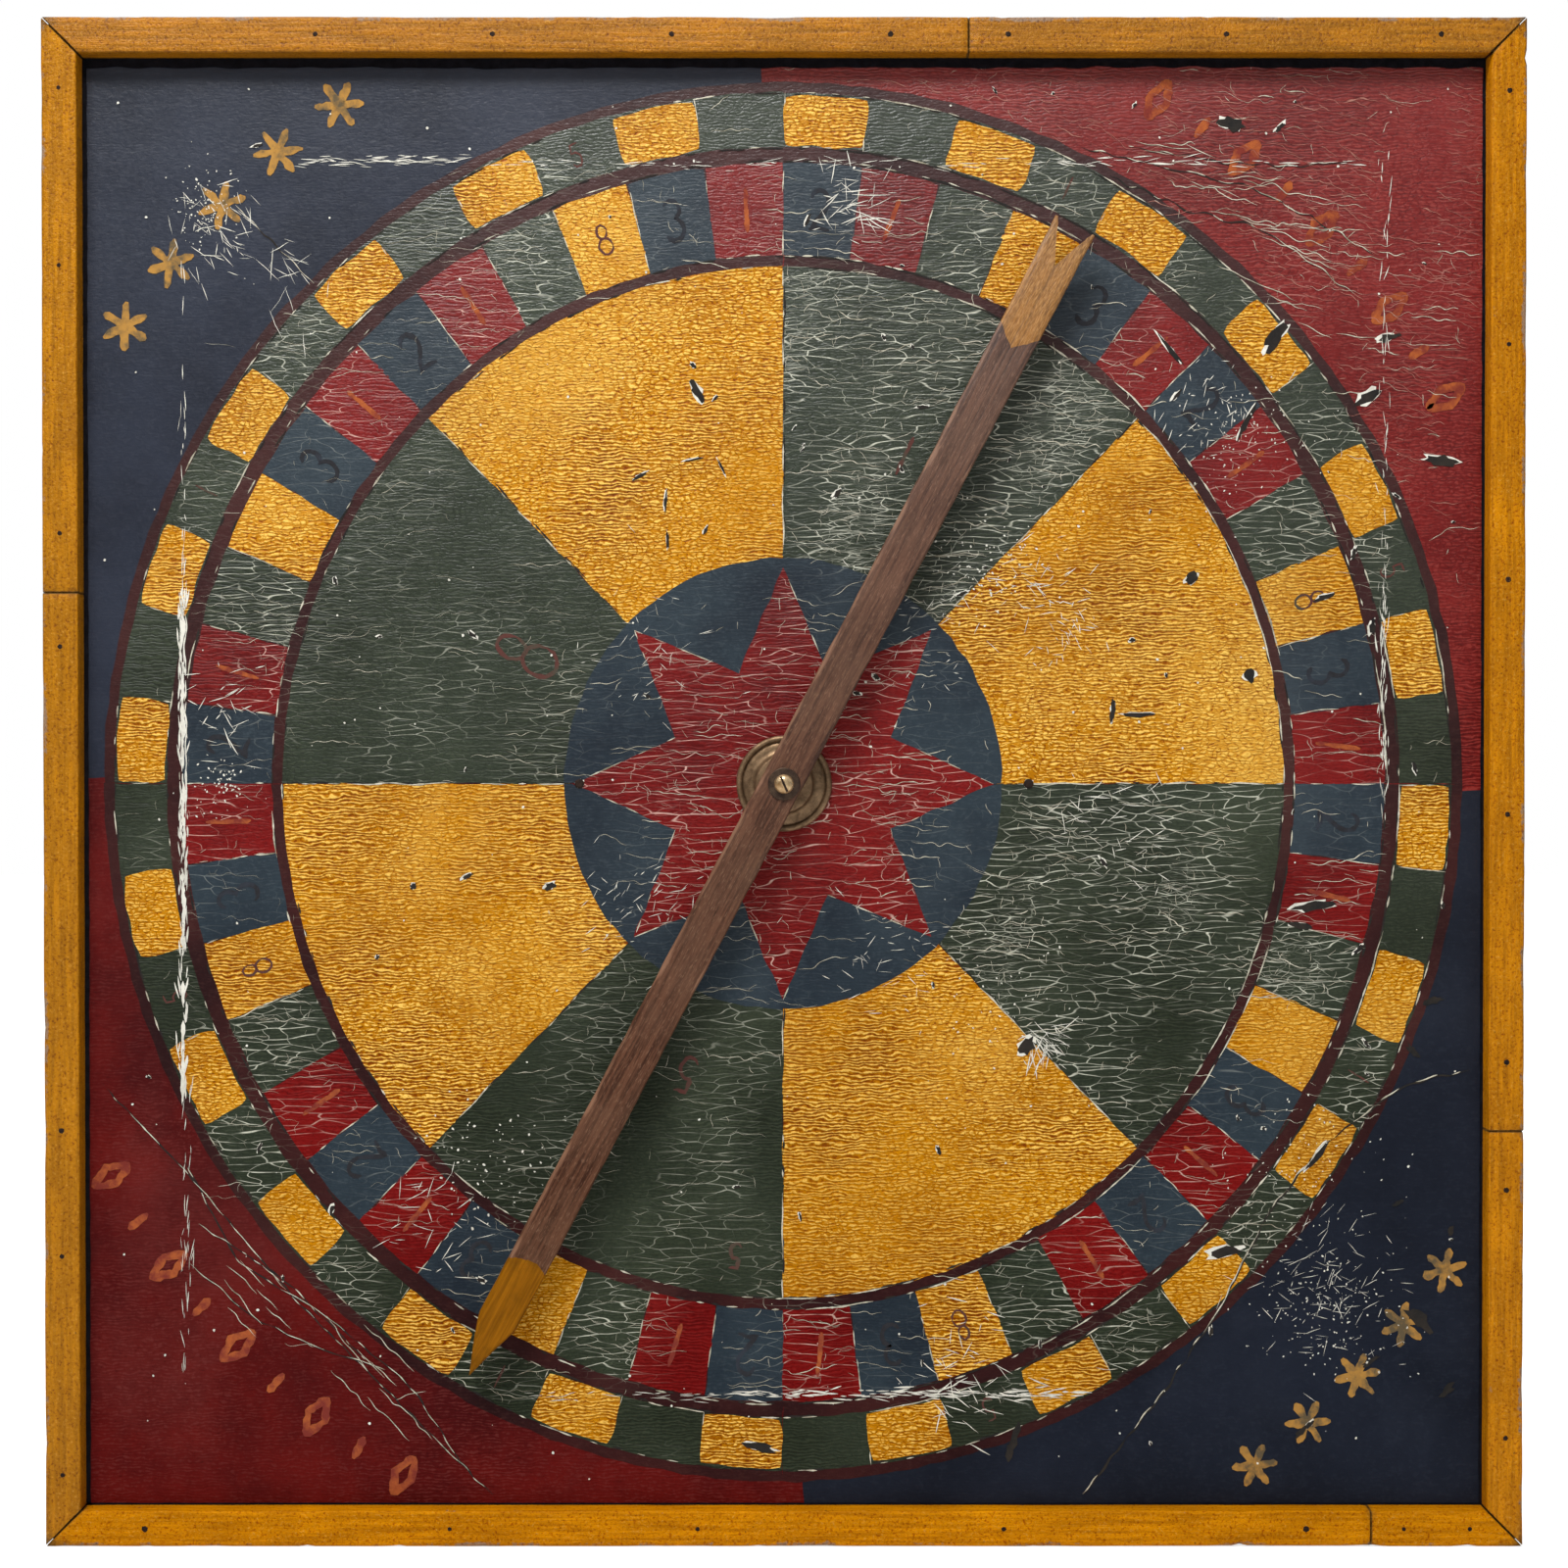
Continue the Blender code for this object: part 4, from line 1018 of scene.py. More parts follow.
def spoke_strand(angle, r_in, r_out, step=0.0020):
    """Points straight outwards over the dial at one angle."""
    count = max(4, int((r_out - r_in) / step))
    radius = np.linspace(r_in, r_out, count)
    x, z = polar(radius, angle + 0.0004 / radius * waves(radius, radius * 0, 0.02, int(angle * 100)))
    return np.stack([x, z], axis=1)


def broken(points, width, cover, seed):
    """Cuts a line into the stretches where its paint has chipped away."""
    x, z = points.T
    chance = waves(x, z, 0.012, seed) + 0.6 * waves(x, z, 0.05, seed + 1)
    shown = chance > (0.5 - cover) * 1.8
    strands = []
    start = None
    for i, on in enumerate(list(shown) + [False]):
        if on and start is None:
            start = i
        elif not on and start is not None:
            if i - start >= 3:
                part = points[start:i]
                uneven = 1 + 0.5 * waves(part[:, 0], part[:, 1], 0.005, seed + 2)
                strands.append((part, width * thin_ends(len(part), 4, 0.2) * uneven))
            start = None
    return strands


def make_chipped_edges():
    """White chipping along the painted lines, and the dark outlines that some of them keep."""
    white, dark = [], []
    for number, radius in enumerate((OUTER_BAND, OUTER_BAND_IN, MIDDLE_LINE_IN, INNER_BAND_IN, SECTOR_OUT)):
        for part in range(8):
            first = part * EIGHTH
            chipped, outlined = (0.5, 0.60) if part < 4 else (0.25, 0.35)
            line = outline_strand(radius, first, first + EIGHTH)
            white += broken(line, 0.0007, chipped, 500 + number * 20 + part)
            dark += broken(line * (1 - 0.0018), 0.0009, outlined, 700 + number * 20 + part)
    for k in range(8):
        line = spoke_strand(k * EIGHTH, DISC_RADIUS, SECTOR_OUT)
        white += broken(line, 0.00065, 0.5 if k % 2 else 0.75, 900 + k)
        dark += broken(line + 0.0006, 0.0008, 0.5, 950 + k)
        tip = k * EIGHTH
        for side in (-1, 1):
            t = np.linspace(0, 1, 26)[:, None]
            outer = np.array(polar(STAR_RADIUS, tip))
            inner = np.array(polar(STAR_VALLEY, tip + side * EIGHTH / 2))
            white += broken(outer * (1 - t) + inner * t, 0.0006, 0.38, 980 + 2 * k + side)
    for k in range(CELLS):
        line = spoke_strand(k * CELL, INNER_BAND_IN, INNER_BAND)
        white += broken(line, 0.00055, 0.48, 1100 + k)
        edge = spoke_strand(k * CELL + (-CELL_GAP if k % 2 else CELL_GAP), OUTER_BAND_IN, OUTER_BAND)
        white += broken(edge, 0.0005, 0.40, 1200 + k)
    make_by_quarter("chipped_edges", white, CRACKS, CRACK_LOOK)
    new_object("dark_outlines", *ribbons(dark, CRACKS - LAYER * 0.5), DARK_CRACK_AND_SHADOW)


def on_board(*shares):
    """Board points given as shares of the opening's half width and half height."""
    return np.array([(u * OPEN_X, v * OPEN_Z) for u, v in shares])


def through(points, step=0.0015, wander=0.0012, seed=0):
    """A wandering smooth line through the points."""
    line, even = evenly(points, step)
    for _ in range(12):
        line[1:-1] = (line[:-2] + line[1:-1] * 2 + line[2:]) / 4
    ease = np.minimum(1, np.minimum(even, even[-1] - even) / 0.01)
    line[:, 0] += wander * ease * waves(line[:, 0], line[:, 1], 0.014, seed)
    line[:, 1] += wander * ease * waves(line[:, 0], line[:, 1], 0.014, seed + 1)
    return line


def straight(start, heading, length):
    """The two ends of a straight line."""
    return np.array([start, start + length * np.array([math.cos(heading), math.sin(heading)])])


def blob(verts, faces, x, z, size, stretch, angle, spikes, layer, count=13):
    """A flat irregular patch: a chip, a spot or a flake."""
    turn = np.linspace(0, 2 * math.pi, count, endpoint=False)
    radius = size * (1 + spikes * rng.uniform(-1, 1, count))
    along = radius * np.cos(turn) * stretch
    across = radius * np.sin(turn)
    px = x + along * math.cos(angle) - across * math.sin(angle)
    pz = z + along * math.sin(angle) + across * math.cos(angle)
    start = len(verts)
    verts += list(at(np.append(px, x), np.append(pz, z), layer))
    faces += [(start + i, start + (i + 1) % count, start + count) for i in range(count)]


def make_long_cracks():
    """The few long cracks and folds that cross the board, each a pale line beside a dark one; the dark one,
    set below and to the right, is a painted shadow.
    """
    pale, dark = [], []
    folds = (
        # the points as shares of the opening, the width, and how much it wanders
        (((0.98, -0.395), (0.882, -0.417), (0.771, -0.50), (0.687, -0.602), (0.631, -0.717),
          (0.533, -0.852), (0.428, -0.985)), 0.0006, 0.5),
        (((-0.978, -0.413), (-0.852, -0.541), (-0.698, -0.717), (-0.558, -0.852), (-0.418, -0.985)),
         0.00045, 0.2),
        (((-0.859, -0.521), (-0.782, -0.663), (-0.656, -0.737), (-0.53, -0.839), (-0.46, -0.947)),
         0.00045, 0.25),
        (((-0.852, -0.663), (-0.754, -0.744), (-0.656, -0.785), (-0.572, -0.812)), 0.0004, 0.3),
        (((-0.838, -0.609), (-0.712, -0.69), (-0.6, -0.798)), 0.0004, 0.3),
        (((0.421, 0.879), (0.533, 0.852), (0.659, 0.825), (0.771, 0.771), (0.84, 0.73)), 0.00045, 0.7),
        (((0.463, 0.839), (0.575, 0.791), (0.687, 0.764), (0.813, 0.676)), 0.00045, 0.7),
        (((0.491, 0.879), (0.603, 0.859), (0.729, 0.852), (0.819, 0.859)), 0.0004, 0.7),
        (((-0.782, 0.798), (-0.67, 0.69)), 0.0004, 0.3),
    )
    for number, (shares, width, wander) in enumerate(folds):
        line = through(on_board(*shares), wander=0.0018 * wander, seed=1400 + 3 * number)
        uneven = 1 + 0.55 * waves(line[:, 0], line[:, 1], 0.010, 1450 + number)
        pale += broken(line, width, 0.62, 1480 + number)
        # The dark line is a painted shadow, set below and to the right of the pale one.
        dark.append((line + (0.0004, -0.0004), width * 1.5 * thin_tips(len(line), 8) * uneven))
    for number in range(34):
        side = rng.uniform(0, 1)
        if number < 20:
            start = on_board((0.50 + 0.30 * side, 0.90 - 0.22 * side + rng.uniform(-0.10, 0.05)))[0]
            heading, length = -0.20 + rng.uniform(-0.25, 0.2), rng.uniform(0.012, 0.050)
        else:
            start = on_board((-0.86 + 0.30 * side, -0.60 - 0.18 * side + rng.uniform(-0.10, 0.02)))[0]
            heading, length = -0.75 + rng.uniform(-0.2, 0.2), rng.uniform(0.015, 0.040)
        line = through(straight(start, heading, length), wander=0.0012, seed=1500 + number)
        pale.append((line, 0.00042 * thin_tips(len(line), 5)))
    new_object("long_cracks", *ribbons(pale, SCUFFS), CRACK_LOOK)
    new_object("long_crack_shadows", *ribbons(dark, CRACKS - LAYER * 0.5), DARK_CRACK_AND_SHADOW)


def scratches(strands, centre, spread, angle, count, length, width, turn):
    """Short scratches strewn round a point, all at nearly one angle."""
    for _ in range(count):
        start = centre + rng.normal(size=2) * spread
        ends = straight(start, angle + rng.normal() * turn, length * rng.uniform(0.3, 1.3))
        line = through(ends, 0.0015, 0.0004, int(rng.integers(2000, 2100)))
        strands.append((line, width * rng.uniform(0.5, 1.4) * thin_tips(len(line), 3)))


def make_scuffs():
    """White rubbing where the cloth lies over the strainer bars' inner edges, and smaller rubbed places."""
    strands = []
    runs = (
        # along, fixed place, least and greatest share, scratches in the run, width
        ("z", -BAR_X - 0.003, -0.42, 0.25, 150, 0.0009), ("z", -BAR_X - 0.002, -0.86, -0.42, 46, 0.0004),
        ("z", -BAR_X - 0.002, 0.25, 0.80, 26, 0.0004),
        ("x", BAR_Z + 0.004, -0.70, -0.46, 60, 0.00045), ("x", BAR_Z + 0.002, -0.46, 0.30, 44, 0.0004),
        ("x", BAR_Z + 0.003, 0.30, 0.82, 40, 0.0005),
        ("x", -BAR_Z + 0.001, -0.08, 0.42, 110, 0.0008), ("x", -BAR_Z, -0.40, -0.08, 26, 0.0004),
        ("z", BAR_X + 0.002, -0.10, 0.86, 70, 0.0004), ("z", BAR_X + 0.001, 0.02, 0.25, 40, 0.0006),
    )
    for along, fixed, first, last, count, width in runs:
        for _ in range(count):
            share = rng.uniform(first, last)
            off = fixed + rng.normal() * 0.0012
            place = (off, share * OPEN_Z) if along == "z" else (share * OPEN_X, off)
            angle = math.pi / 2 if along == "z" else 0.0
            scratches(strands, np.array(place), 0.0006, angle, 1, 0.009, width, 0.12)
    rub = through(np.array([(-BAR_X - 0.003, 0.27 * OPEN_Z), (-BAR_X - 0.0022, -0.10 * OPEN_Z),
                            (-BAR_X - 0.0030, -0.44 * OPEN_Z)]), 0.0015, 0.0005, 1900)
    strands += broken(rub, 0.0017, 0.85, 1910)
    strands += broken(rub + (0.0016, 0.0), 0.0007, 0.60, 1920)
    for u, v, spread, angle, count, length, width in (
            # the place as shares of the opening, and what scratches says
            (-0.82, 0.77, 0.013, -0.8, 60, 0.009, 0.0004), (-0.70, 0.72, 0.012, -0.8, 20, 0.014, 0.0003),
            (0.37, -0.36, 0.005, -0.95, 50, 0.010, 0.0005), (0.40, 0.22, 0.008, -0.9, 40, 0.006, 0.0004),
            (0.36, 0.28, 0.012, 0.1, 46, 0.008, 0.0004), (0.09, 0.80, 0.010, 0.2, 60, 0.012, 0.0005),
            (0.47, -0.06, 0.022, 0.05, 60, 0.010, 0.0004), (0.24, -0.82, 0.014, 0.0, 60, 0.010, 0.0005),
            (0.77, -0.70, 0.020, 0.3, 120, 0.008, 0.0003), (-0.50, -0.60, 0.014, 0.3, 40, 0.010, 0.0004),
            (-0.80, 0.10, 0.010, 0.2, 34, 0.009, 0.0005), (0.62, 0.52, 0.014, 0.9, 50, 0.006, 0.0004),
            (-0.22, -0.16, 0.020, 0.6, 60, 0.006, 0.00035), (0.20, 0.22, 0.020, 0.3, 60, 0.006, 0.00035),
            (0.14, -0.24, 0.020, 0.2, 60, 0.006, 0.00035), (-0.20, 0.18, 0.020, 0.4, 40, 0.006, 0.0003)):
        scratches(strands, on_board((u, v))[0], spread, angle, count, length, width, 0.7)
    make_by_quarter("scuffs", strands, SCUFFS, SCUFF_LOOK)


def make_edge_grime():
    """Painted shadow: a black band on the cloth in the corner under each strip, widest under the top one,
    where the strips' shadow falls.
    """
    strands = []
    edges = ((0.0105, (-1, 1), (1, 1)), (0.0050, (-1, -1), (-1, 1)), (0.0034, (1, -1), (1, 1)),
             (0.0022, (-1, -1), (1, -1)))
    # The band's widths follow the light from above left: widest under the top strip, then the left, right
    # and bottom.
    for width, *corners in edges:
        ends = on_board(*corners)
        line = ends[0] + (ends[1] - ends[0]) * np.linspace(0, 1, 200)[:, None]
        strands.append((line, width * (1 + 0.10 * waves(line[:, 0], line[:, 1], 0.02, 1950))))
    new_object("edge_grime", *ribbons(strands, SCUFFS + LAYER), STRIP_SHADOW_BLACK)


# Where larger flakes have come off: place as shares of the opening, size, stretch and angle.
FLAKES = (
    (0.666, 0.149, 0.0034, 1.0, 0.0), (0.701, 0.615, 0.0035, 2.6, 0.9), (0.757, -0.169, 0.0028, 4.0, 0.1),
    (0.736, -0.196, 0.0020, 3.0, -0.2), (0.348, -0.362, 0.0042, 1.4, 1.0),
    (0.33, -0.906, 0.0024, 3.0, 1.3), (-0.034, -0.92, 0.0022, 4.0, -0.2),
    (-0.124, 0.541, 0.0026, 2.6, -1.0), (0.47, 0.101, 0.0015, 4.0, 1.5), (0.505, 0.095, 0.0012, 8.0, 0.0),
    (0.833, 0.534, 0.0034, 2.2, 0.6), (0.938, 0.446, 0.0028, 3.4, -0.1),
    (0.631, -0.649, 0.0028, 4.0, 0.2), (0.764, -0.514, 0.0016, 6.0, 0.9),
    (0.582, 0.284, 0.0030, 1.6, 0.5), (0.323, -0.927, 0.0018, 3.0, 1.4),
    (0.91, -0.744, 0.0040, 2.2, -0.7), (-0.53, -0.142, 0.0018, 1.0, 0.0),
    (-0.334, -0.142, 0.0018, 2.0, 0.5), (-0.453, -0.128, 0.0012, 3.0, 0.6),
    (0.861, 0.615, 0.0020, 3.0, 0.2), (0.771, 0.257, 0.0016, 3.5, 0.3), (0.84, 0.216, 0.0016, 3.0, 1.4),
    (0.638, 0.909, 0.0034, 2.2, -0.2), (-0.222, -0.352, 0.0012, 3.0, 0.3),
    (0.55, 0.60, 0.0012, 9.0, -0.9), (0.66, 0.50, 0.0014, 7.0, 1.1), (-0.13, 0.447, 0.0007, 8.0, 0.2),
    (0.74, -0.90, 0.0016, 3.0, 0.8), (0.95, -0.84, 0.0024, 2.0, 0.8), (-0.169, 0.390, 0.0008, 7.0, 1.5),
    (-0.166, 0.335, 0.0008, 6.0, 1.6), (-0.088, 0.435, 0.0006, 9.0, -1.1),
    (-0.205, 0.425, 0.0008, 6.0, 0.5), (-0.130, 0.577, 0.0012, 1.6, -0.9),
    (-0.098, 0.532, 0.0008, 2.6, 0.9), (-0.112, 0.350, 0.0008, 3.0, 1.1), (0.93, -0.30, 0.0018, 3.0, 0.3),
    (0.90, -0.37, 0.0020, 2.4, -0.9), (0.88, -0.58, 0.0012, 3.0, 0.4), (0.84, -0.80, 0.0014, 4.0, 0.6),
    (0.955, -0.62, 0.0016, 2.0, 1.2),
)


def make_spots():
    """White spatter and rubbed specks, and black places where the paint has flaked away."""
    white, white_faces, black, black_faces = [], [], [], []

    def keep_off_hub(x, z):
        return math.hypot(x, z) > HUB_RADIUS * 1.15

    for _ in range(230):
        x, z = rng.uniform(-0.97, 0.97) * OPEN_X, rng.uniform(-0.97, 0.97) * OPEN_Z
        if keep_off_hub(x, z):
            size, angle = rng.uniform(0.0002, 0.0007), rng.uniform(0, 3)
            blob(white, white_faces, x, z, size, 1.2, angle, 0.2, SCUFFS, 7)
    for u, v, spread, count, size in ((0.77, -0.72, 0.020, 220, 0.0004), (0.30, 0.30, 0.012, 90, 0.0005),
                                      (-0.43, -0.52, 0.018, 80, 0.0006), (0.65, 0.48, 0.014, 120, 0.0004),
                                      (-0.83, 0.79, 0.010, 120, 0.0004), (0.30, -0.30, 0.02, 60, 0.0005),
                                      (0.75, -0.55, 0.025, 110, 0.0004), (-0.80, 0.0, 0.008, 70, 0.0005)):
        middle = on_board((u, v))[0]
        for _ in range(count):
            x, z = middle + rng.normal(size=2) * spread
            if abs(x) < OPEN_X - 0.003 and abs(z) < OPEN_Z - 0.003:
                speck, angle = size * rng.uniform(0.3, 1.1), rng.uniform(0, 3)
                blob(white, white_faces, x, z, speck, 1.5, angle, 0.3, SCUFFS, 6)
    for u, v, size, stretch, angle in FLAKES:
        x, z = on_board((u, v))[0]
        if math.hypot(x, z) < OUTER_LINE or z > 0:
            blob(white, white_faces, x - 0.0003, z + 0.0003, size * 1.02, stretch, angle, 0.35, CRACKS)
        blob(black, black_faces, x, z, size * 0.95, stretch, angle, 0.38, SCUFFS)
    for name in ("canvas_nail_left", "canvas_nail_right"):
        low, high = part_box(name)
        x, z = (low.x + high.x) / 2, (low.z + high.z) / 2
        blob(white, white_faces, x, z, 0.0021, 1.2, 0.7, 0.35, SCUFFS - LAYER * 0.4, 17)
        blob(black, black_faces, x - 0.0003, z + 0.0003, 0.0019, 1.3, 0.2, 0.30, SCUFFS, 15)
    for _ in range(120):
        x, z = rng.uniform(-0.96, 0.96) * OPEN_X, rng.uniform(-0.96, 0.96) * OPEN_Z
        if keep_off_hub(x, z) and rng.uniform() < 0.35 + 0.5 * (x > 0):
            size = rng.uniform(0.0004, 0.0012)
            stretch, angle = rng.uniform(1, 3.5), rng.uniform(0, 3)
            blob(white, white_faces, x - 0.0002, z + 0.0002, size * 1.2, stretch, angle, 0.35, CRACKS)
            blob(black, black_faces, x, z, size, stretch, angle, 0.40, SCUFFS)
    new_object("white_spots", white, white_faces, SCUFF_LOOK)
    new_object("black_flakes", black, black_faces, DARK_CRACK_AND_SHADOW)


# ---------------------------------------------------------------- the frame strips

def make_strip(name, seed):
    """A strip swept along its length: hand-planed face, worn edges, a mitre at the board's corner."""
    low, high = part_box(name)
    side = name.split("_")[1]
    level = side in ("top", "bottom")
    start, end = (low.x, high.x) if level else (low.z, high.z)
    board_low, board_high = (cad_low.x, cad_high.x) if level else (BOTTOM_STRIP_LOW.z, TOP_STRIP_HIGH.z)
    mitre_start = start < board_low + STRIP_FACE / 2
    mitre_end = end > board_high - STRIP_FACE / 2
    back, front = -high.y, -low.y
    thick = front - back
    outer_round, inner_round = 0.0016, 0.0010
    # Across the strip d runs from the outer edge inwards, and h from the back outwards. Edge_points says how
    # far each point of the section is worn: the outer side, its corner, the face, the inner corner and side.
    section = [(0.0, STRIP_SEAT), (0.0, thick * 0.5)]
    section += arc((outer_round, thick - outer_round), (outer_round, outer_round), 180, 90, 5)
    section += [(STRIP_FACE * share, thick) for share in (0.25, 0.42, 0.58, 0.75)]
    section += arc((STRIP_FACE - inner_round, thick - inner_round), (inner_round, inner_round), 90, 0, 4)
    section += [(STRIP_FACE, thick * 0.5), (STRIP_FACE, STRIP_SEAT)]
    section = np.array(section)
    edge_points = np.array([0.75] * 2 + [1.0] * 5 + [0.0] * 4 + [0.72] * 4 + [0.55] * 2)
    stations = int((end - start) / 0.004)
    tip = 0.0007 / (end - start)
    t = np.concatenate([[0], np.linspace(tip, 1 - tip, stations - 2), [1]])[:, None]
    d = np.broadcast_to(section[:, 0], (stations, len(section)))
    h = np.broadcast_to(section[:, 1], (stations, len(section)))
    first = start + (d - 0.0002 if mitre_start else 0.0)
    last = end - (d - 0.0002 if mitre_end else 0.0)
    s = first * (1 - t) + last * t
    offset = seed * 3.1
    wear = waves(s, s * 0 + offset, 0.050, 41) * 0.5 + waves(s, d * 3 + offset, 0.012, 42) * 0.4
    sink = 0.00035 * np.clip(wear, 0, 2) * edge_points
    chip = np.clip(waves(s, s * 0 + offset, 0.022, 43) - 0.95, 0, 1) * 0.0020 * (edge_points >= 0.7)
    bow = 0.00025 * waves(s, s * 0 + offset, 0.30, 44)
    face = 0.00006 * waves(s, d + offset, 0.020, 45)
    ends = 0.0006 * ((t == 0) | (t == 1)) * (h > thick * 0.8)
    h = h - ends + face * (h > thick * 0.8) - (sink + chip * 0.6) * (h > thick * 0.4)
    toward = np.where(d < STRIP_FACE / 2, 1.0, -1.0)
    d = d + toward * (sink + chip) * 0.8 + np.where(d < STRIP_FACE / 2, np.abs(bow), 0.0)
    x, z = {"top": (s, TOP_STRIP_HIGH.z - d), "bottom": (s, BOTTOM_STRIP_LOW.z + d),
            "left": (LEFT_STRIP_LOW.x + d, s), "right": (RIGHT_STRIP_HIGH.x - d, s)}[side]
    points = np.stack([x, -(back + h), z], axis=-1)
    count = len(section)
    faces = tube_faces(stations, count)
    faces.append(tuple(range(count))[::-1])
    faces.append(tuple(range((stations - 1) * count, stations * count)))
    obj = new_object(name + "_painted", points.reshape(-1, 3), faces, STRIP_PAINTS_SHADED_BY_SIDE[side], slot="ochre_paint")
    corner_in = np.minimum(np.where(mitre_start, s - start, 1.0), np.where(mitre_end, end - s, 1.0))
    joint_in = np.minimum(s - start, end - s)
    mitre_in = np.where((t == 0) | (t == 1), 0.0, 1.0)
    grime = 0.60 * np.exp(-corner_in / 0.024) + 0.45 * np.exp(-joint_in / 0.0025) + 2.0 * (mitre_in < 0.5)
    grime = grime + 0.20 * edge_points * (0.6 + 0.5 * waves(s, s * 0 + offset, 0.08, 46))
    rubbed = {"top": 0.30, "left": 0.22, "right": 0.26, "bottom": 0.20}[side]
    outer = (section[:, 0] < STRIP_FACE / 2)[None, :]
    # The bottom strip is worn pale along its inner edge as well as its outer one: wear, and also a painted
    # highlight for its upward face catching the light from above.
    worn = edge_points * (0.34 + rubbed * (outer | (side == "bottom")) + 0.22 * wear)
    set_attribute(obj, "wear", np.broadcast_to(worn, s.shape).ravel())
    set_attribute(obj, "grime", grime.ravel())
    obj.data.set_sharp_from_angle(angle=math.radians(50))
    fix_normals(obj)
    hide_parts(name)


def make_frame():
    """The eight strips, and the brads' heads sunk in them."""
    for seed, name in enumerate(sorted(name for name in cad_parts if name.startswith("strip_"))):
        make_strip(name, seed)
    for name in sorted(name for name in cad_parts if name.startswith("brad_")):
        low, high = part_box(name)
        x, z = (low.x + high.x) / 2, (low.z + high.z) / 2
        size = 0.00076 * rng.uniform(0.8, 1.3)
        profile = [(size * 1.7, 0.00002), (size * 1.35, 0.00022), (size * 1.05, 0.00024), (size, 0.00006),
                   (size * 0.6, 0.00010), (0.0, 0.00012)]
        lathe(name + "_head", name, profile, STRIP_OUT, 14, RUST, "dark_steel", (x, z), 0.12)


# ---------------------------------------------------------------- turned pieces and the arrow

def lathe(name, node, profile, out, segments, look, slot, centre=(0.0, 0.0), dents=0.0):
    """A turned piece facing the viewer, in place of a CAD node.

    The profile is (radius, height above out) from the outside in.
    """
    turn = np.linspace(0, 2 * math.pi, segments, endpoint=False)[None, :]
    radius, height = np.array(profile).T[:, :, None]
    ring_x, ring_z = np.cos(turn), np.sin(turn)
    squeeze = 1 + dents * waves(ring_x * 0.02 + centre[0], ring_z * 0.02 + centre[1], 0.012, 51)
    x = centre[0] + radius * ring_x * squeeze
    z = centre[1] + radius * ring_z * squeeze
    points = np.stack([x, -(out + height * np.ones_like(turn)), z], axis=-1)
    obj = new_object(name, points.reshape(-1, 3), tube_faces(len(profile), segments), look, slot=slot)
    fix_normals(obj, 1e-6)
    obj.data.set_sharp_from_angle(angle=math.radians(40))
    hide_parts(node)
    return obj


def make_hub():
    """The pressed brass rosette with its rolled rim, and the screw with its washer."""
    out = -HUB_HIGH.y
    height = -HUB_LOW.y - out
    rim = HUB_RADIUS
    boss = HUB_RADIUS * 0.60
    profile = [(rim - 0.0006, 0.0), (rim, 0.0003)]
    profile += arc((rim - 0.0017, 0.0018), (0.0017, 0.0017), 0, 180, 13)
    profile += [(rim - 0.0040, 0.0022), (rim - 0.0052, 0.0027), (rim - 0.0064, 0.0028),
                (boss + 0.0030, 0.0029), (boss + 0.0014, 0.0034), (boss + 0.0006, 0.0046),
                (boss, height - 0.0016), (boss - 0.0004, height - 0.0006),
                (boss - 0.0014, height - 0.0001), (boss - 0.0060, height), (0.0040, height)]
    lathe("hub_rosette_turned", "hub_rosette", profile, out, 96, HUB_BRASS, "aged_brass", dents=0.006)

    low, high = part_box("head_washer")
    thick = high.y - low.y
    size = high.x
    profile = [(size, 0.0), (size, thick * 0.6), (size - 0.0004, thick), (size * 0.72, thick * 0.8),
               (size * 0.66, thick * 1.05), (0.0030, thick)]
    lathe("head_washer_turned", "head_washer", profile, -high.y, 64, RING_BRASS, "aged_brass", dents=0.01)

    base = -low.y
    low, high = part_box("pivot_screw")
    size = high.x
    dome = -low.y - base
    profile = [(0.0, -0.0012), (0.0027, -0.0012), (0.0027, 0.0), (size * 0.97, 0.0)]
    profile += [(size * math.cos(a), dome * (0.12 + 0.88 * math.sin(a)))
                for a in np.linspace(0, math.pi / 2, 12)]
    head = lathe("pivot_screw_head", "pivot_screw", profile, base, 64, SCREW_BRASS, "bright_brass")
    # The slot is cut across the dome and dirty inside.
    bpy.ops.mesh.primitive_cube_add(size=1.0)
    slot = bpy.context.object
    slot.dimensions = (0.0012, 0.0032, 0.03)
    slot.location = (0.0, -(base + dome), 0.0)
    slot.rotation_euler = (0.0, math.radians(-24.0), 0.0)
    cut = head.modifiers.new("slot", "BOOLEAN")
    cut.object = slot
    cut.solver = "EXACT"
    cut.material_mode = "TRANSFER"
    slot.data.materials.append(SLOT_DIRT)
    bpy.context.view_layer.update()
    shaped = bpy.data.meshes.new_from_object(head.evaluated_get(bpy.context.evaluated_depsgraph_get()))
    head.modifiers.clear()
    head.data = shaped
    shaped.set_sharp_from_angle(angle=math.radians(40))
    bpy.data.objects.remove(slot)
    soften(head, 0.00012, 2, 40)


